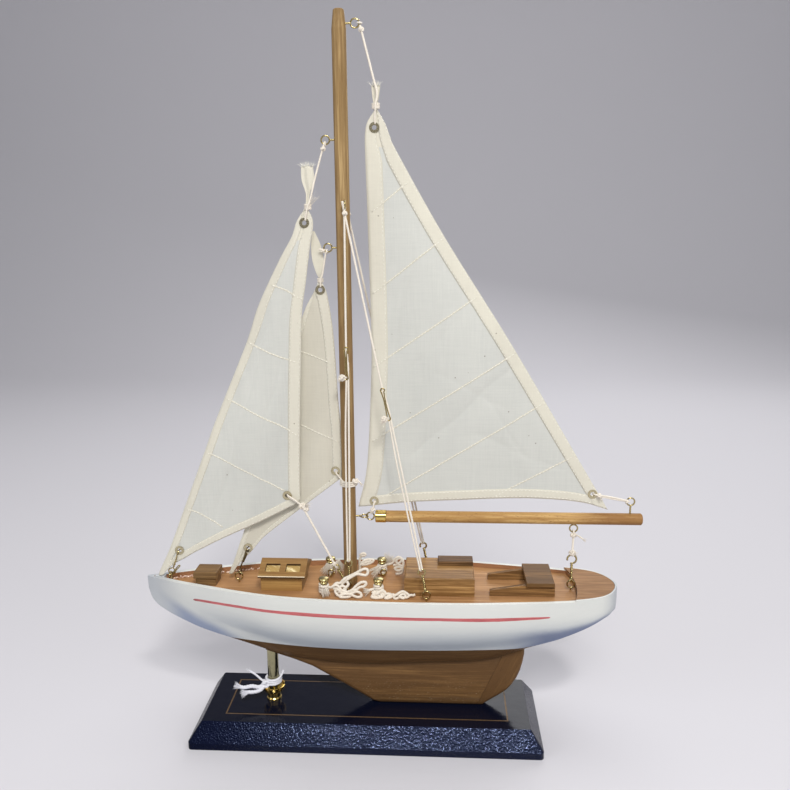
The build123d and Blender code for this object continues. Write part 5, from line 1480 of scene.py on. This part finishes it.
# below the after port bollard, trailing aft
BOLLARD_HEAP = [
    [(6.8, -15.6, 4.8), (4.8, -16.4, 4.5), (3.1, -16.8, 4.2), (2.2, -17, 4)],
    [(6.5, -16, 4.8), (9.4, -16.6, 4.8), (11.5, -16.6, 4.3), (12.4, -17.2, 2.9), (11.6, -18.6, 1.4),
     (9.6, -19.6, 0.4), (6.3, -19.6, 0.3), (5, -18.8, 1.1), (6.2, -18.4, 2.2), (7.1, -19, 1),
     (8.3, -18.2, 2.3), (7, -17.4, 3.2), (6.1, -16.8, 3.9)],
    [(8.2, -16.8, 4.6), (9.5, -17.4, 3.4), (10.8, -18.2, 2), (11.3, -19.4, 0.5), (9.1, -18.8, 1.8),
     (8.3, -18, 3), (9.4, -17.2, 4), (11.2, -17.6, 3.2), (12.9, -18.6, 1.4)],
    [(5.2, -17.2, 3.6), (6.4, -18, 2.6), (8.4, -18.8, 3), (10.4, -17.6, 4.2), (12.6, -17.6, 3.8),
     (13.4, -18.4, 2.2)],
    [(12, -18.4, 1.6), (13.7, -17.8, 2.6), (16.2, -18, 2.4), (14.6, -19, 1.6), (13, -19.8, 0.3),
     (15.4, -19.6, 0.3), (17.5, -18.6, 1.6), (19.5, -18.2, 2.2), (21.2, -17.6, 3.2),
     (23.2, -17, 3.9), (25.3, -17.2, 3.2), (27.4, -18, 1.8)],
]
THIN_TAIL = [
    (15.4, -18, 1.6), (17.9, -18.6, 2.6), (18.4, -19.6, 0.6), (20.4, -19.6, 0.4), (21.6, -18.6, 1.8),
    (23.3, -17.8, 2.6), (25, -18.4, 2), (23.8, -19.6, 0.6), (21.2, -19.4, 1.8), (25.4, -18.8, 0.9),
    (27.9, -18.2, 2.2), (29.5, -18, 2.1), (30.7, -17.6, 2.4)]
# a folded hank by the mast, then a coil aft of it
STARBOARD_ROPE = [
    [(-5.2, 12.5, 7.7), (-3.4, 12.2, 7.4), (-0.3, 12.2, 7.9), (2.8, 12.4, 9.3), (3.3, 12.6, 10.6),
     (0.1, 12.8, 10.7), (-2.5, 12.6, 9.8), (-4.3, 12.6, 8.3)],
    [(-5, 12.8, 2), (-5.2, 12.6, 5), (-4.8, 12.2, 7.3), (-1.6, 12.2, 8.8), (1.9, 12.4, 10)],
    [(-5.3, 14, 13), (-3.5, 14, 14.2), (-1.7, 14, 14), (-2.2, 14, 12.9), (-4.4, 14, 12.4),
     (-5.4, 14.2, 9), (-5.2, 14, 5)],
    [(11.4, 14.8, 6.6), (13.4, 13.6, 7.5), (15.6, 13.2, 8.7), (17.4, 13.2, 11.5), (19.6, 13.4, 12.4),
     (21.8, 13.2, 10.6), (22.3, 12.8, 7.5), (20.9, 12.2, 4.5), (18.7, 12.2, 3.9), (17, 12.4, 5.2),
     (19.2, 12.6, 6.1), (21.8, 12.4, 5.3), (21, 13, 2), (17.6, 13.6, 0.9)],
    [(16, 13, 6.9), (18.3, 13, 7.8), (20.5, 13, 9.3), (21.4, 13.3, 11.1), (19.2, 13.3, 11.5),
     (17.8, 13, 9.7), (19.6, 12.8, 7.5), (21.8, 12.6, 6.7)],
]


def above_deck(points, lowest=0.0):
    return [(x, y, DECK + max(z, lowest)) for x, y, z in points]


def deck_rope():
    """Turns on the bollards, tassels, heaps and coils."""
    rope = Shape()
    for i, (x, y) in enumerate(BOLLARDS):
        turns = helix((x, y, DECK + 1.6), (x, y, DECK + 7.0), 2.35, 3.6, i * 1.3, 70)
        rope.cord(0.78, turns, 0.4)
    # a short end of rope lies by the first tassel and another by the last
    ends = {0: [(-25.6, -17, 6.6), (-24.2, -17.6, 6.2), (-22.6, -17.4, 6.4)],
            5: [(9, 12.4, 6.4), (8.6, 12, 6.8), (7.4, 12, 6)]}
    for i, (base, *settings) in enumerate(TASSELS):
        rope.fray(*above_deck([base]), *settings)
        if i in ends:
            rope.cord(0.8, above_deck(ends[i]), 0.4)
    lengths = [(ROPE_RADIUS, points) for points in MAST_PORT_HEAP + BOLLARD_HEAP]
    lengths.append((THIN_ROPE_RADIUS, THIN_TAIL))
    lengths += [(ROPE_RADIUS, points) for points in STARBOARD_ROPE]
    for radius, points in lengths:
        # no point lies lower than the rope's own radius
        rope.cord(radius, above_deck(points, radius + 0.06), 0.42)
    rope.finish("deck_rope", "cotton_cord", "hull", "white_cord", "deck_ropes")


# ---- small details

# (x, half breadth) along the foot of the rim
RIM_LINE = [(-122, 4.6), (-115, 7.6), (-105, 11), (-95, 14.3), (-85, 17.2), (-75, 19.9),
            (-62, 22.9), (-50, 24.9)]
# x, y, z and radius of the lumps of paint at the stem
STEM_LUMPS = [(-131.0, -0.5, 97.6, 1.5), (-132.6, 0.3, 97.5, 1.2), (-129.4, -0.9, 97.3, 1.0),
              (-133.9, -0.2, 97.4, 0.9), (-130.2, 0.9, 97.5, 1.0)]


def rim_half_breadth(x):
    """Half breadth inside the rim, by a ray cast sideways just above the deck."""
    hull = NODES["hull_upper"]
    inverse = hull.matrix_world.inverted()
    start = inverse @ Vector((x * MILLI, 0, (DECK + 0.8) * MILLI))
    way = (inverse.to_3x3() @ Vector((0, 1, 0))).normalized()
    found, place, _, _ = hull.ray_cast(start, way)
    return (hull.matrix_world @ place).y / MILLI if found else 10.0


def rim_glue():
    """Beads of glue along the foot of both rims, with a few left out."""
    glue = Shape()
    for side in (-1, 1):
        for i, point in enumerate(spline([(x, side * y, DECK) for x, y in RIM_LINE], 1.15)):
            draw = random.Random(i * 2 + (side > 0))
            if draw.random() < 0.12:
                continue
            y = rim_half_breadth(point.x) * side
            centre = (point.x + draw.uniform(-0.3, 0.3), y - side * draw.uniform(0.2, 0.7),
                      DECK + draw.uniform(0.0, 0.55))
            radii = (draw.uniform(0.7, 1.5), draw.uniform(0.45, 0.95), draw.uniform(0.5, 1.05))
            glue.blob(centre, radii, i * 0.7)
    glue.finish("rim_glue_beads", "varnish_bead", "hull", "deck_wood")


def stem_paint():
    """A lump of paint where the jib's tack meets the stem."""
    paint = Shape()
    for i, (x, y, z, radius) in enumerate(STEM_LUMPS):
        radii = (radius * 1.3, radius * 0.8, radius * 0.55)
        paint.blob((x, y, z), radii, 30 + i, around=16, down=10)
    paint.finish("stem_paint_lump", "hull_white_paint", "hull", "hull_white_paint")


def post_string():
    """Three turns of cord round the brass post, knotted, with loose frayed ends."""
    post_x, post_radius = -60.5, 3.5
    string = Shape()
    for k in range(3):
        turn = arc((post_x, 0, 26.6 + k * 1.35), ((1, 0, 0.06), (0, 1, 0)), post_radius + 1.0,
                   0.5 * k, 0.5 * k + tau, 44)
        string.cord(0.85, turn, 0.45)
    knot = Vector((-64.6, -3.6, 27.0))
    string.knot(knot, 2.6, 0.85, (0.6, -0.6, 0.5), seed=25)
    string.cord(1.15, [knot, (-68.6, -5.6, 25.4), (-73, -6.8, 26.6), (-78, -7.6, 26),
                       (-80.6, -8, 26.8)], 0.5)
    tassel = dict(count=80, spread=0.40, radius=0.14, root=1.0)
    string.fray((-80.2, -8, 26.6), (-1, -0.1, 0.30), length=3.8, seed=26, **tassel)
    string.cord(1.15, [knot, (-67.6, -6.4, 24), (-71.6, -8.4, 23.6), (-75.4, -9.4, 24)], 0.5)
    string.fray((-75, -9.3, 23.9), (-1, -0.15, -0.25), length=4.4, seed=27, **tassel)
    string.cord(0.62, [knot, (-67.4, -4.4, 30), (-71, -4.4, 33.4), (-74.4, -4.4, 35.6)], 0.45)
    string.fray((-74, -4.4, 35.4), (-0.9, 0, 0.7), length=3.0, spread=0.3, radius=0.1, seed=28)
    string.cord(0.6, [(-57, -2.6, 28.6), (-55, -1, 31.6), (-54, 0.6, 34)], 0.45)
    string.finish("post_string_cord", "silver_cord", "hull", "white_cord", "post_string")


deck_rope()
rim_glue()
stem_paint()
post_string()


# ---- stage, light and camera

def backdrop():
    """A pale floor that sweeps up into a wall behind the yacht."""
    mat = Material("pale_floor")
    pale = rgb(206, 204, 208)
    mat.set(Base_Color=mat.mix(mat.noise(scale=0.004, detail=2) * 0.3, pale,
                               tuple(c * 0.96 for c in pale)),
            Roughness=0.85)
    near_y, bend_y, bend_radius, half_width, top_z = -2600, 1144, 900, 3500, 3600
    rows = [(near_y + (bend_y - near_y) * i / 20, 0.0) for i in range(20)]
    for i in range(21):
        angle = i / 20 * pi / 2
        rows.append((bend_y + bend_radius * sin(angle), bend_radius * (1 - cos(angle))))
    rows.append((bend_y + bend_radius, top_z))
    shape = Shape()
    shape.add([(x, y, z) for y, z in rows for x in (-half_width, half_width)],
              [(2 * i, 2 * i + 1, 2 * i + 3, 2 * i + 2) for i in range(len(rows) - 1)])
    shape.finish("floor", "pale_floor")


def area(name, location, target, size, power, colour=(1, 1, 1)):
    light = bpy.data.lights.new(name, "AREA")
    light.shape = "RECTANGLE"
    light.size, light.size_y = size
    light.energy = power
    light.color = colour
    lamp = bpy.data.objects.new(name, light)
    scene.collection.objects.link(lamp)
    lamp.location = location
    lamp.rotation_mode = "QUATERNION"
    lamp.rotation_quaternion = (Vector(target) - Vector(location)).to_track_quat("-Z", "Y")
    return lamp


def lights():
    area("key", (0.15, -1.35, 1.45), target=(0, 0, 0.16), size=(0.8, 0.5), power=18.5,
         colour=(1.0, 0.985, 0.96))
    area("spark", (0.30, -0.80, 1.15), target=(0, 0, 0.05), size=(0.16, 0.10), power=5.0,
         colour=(1.0, 0.98, 0.95))
    # the glint falls on the stand alone
    glint = area("glint", (0.10, -0.95, 1.00), target=(0, 0, 0.01), size=(0.07, 0.05),
                 power=26.0, colour=(0.96, 0.98, 1.0))
    stand = bpy.data.collections.new("stand_only")
    stand.objects.link(NODES["base_board"])
    glint.light_linking.receiver_collection = stand
    area("left", (-1.5, -0.9, 0.9), target=(0, 0, 0.18), size=(0.8, 0.8), power=5,
         colour=(0.96, 0.98, 1.0))
    area("fill", (1.5, -1.0, 0.7), target=(0, 0, 0.18), size=(1.2, 1.2), power=5.5,
         colour=(0.94, 0.97, 1.0))
    area("top", (0.1, 0.3, 1.7), target=(0, 0, 0.1), size=(1.4, 1.0), power=8)
    area("back", (0.4, 1.2, 0.9), target=(0, 0, 0.2), size=(1.0, 0.7), power=6)


def world():
    studio = bpy.data.worlds.new("studio")
    scene.world = studio
    studio.use_nodes = True
    background = studio.node_tree.nodes["Background"]
    background.inputs["Color"].default_value = (*rgb(214, 216, 224), 1)
    background.inputs["Strength"].default_value = 0.36
    scene.view_settings.view_transform = "Standard"
    scene.view_settings.look = "None"
    scene.view_settings.exposure = 0.0


def camera():
    lens = bpy.data.cameras.new("camera")
    lens.sensor_width = 36.0
    lens.lens = 35.485975
    lens.clip_start, lens.clip_end = 0.01, 20
    holder = bpy.data.objects.new("camera", lens)
    scene.collection.objects.link(holder)
    right = Vector((0.998285, 0.057864, -0.008852))
    up = Vector((-0.003198, 0.204911, 0.978775))
    ahead = Vector((-0.058450, 0.977069, -0.204744))
    turned = Matrix((right, up, -ahead)).transposed()
    place = Vector((45.41, -444.68, 306.64)) * MILLI
    holder.matrix_world = Matrix.Translation(place) @ turned.to_4x4()
    scene.camera = holder


backdrop()
lights()
world()
camera()
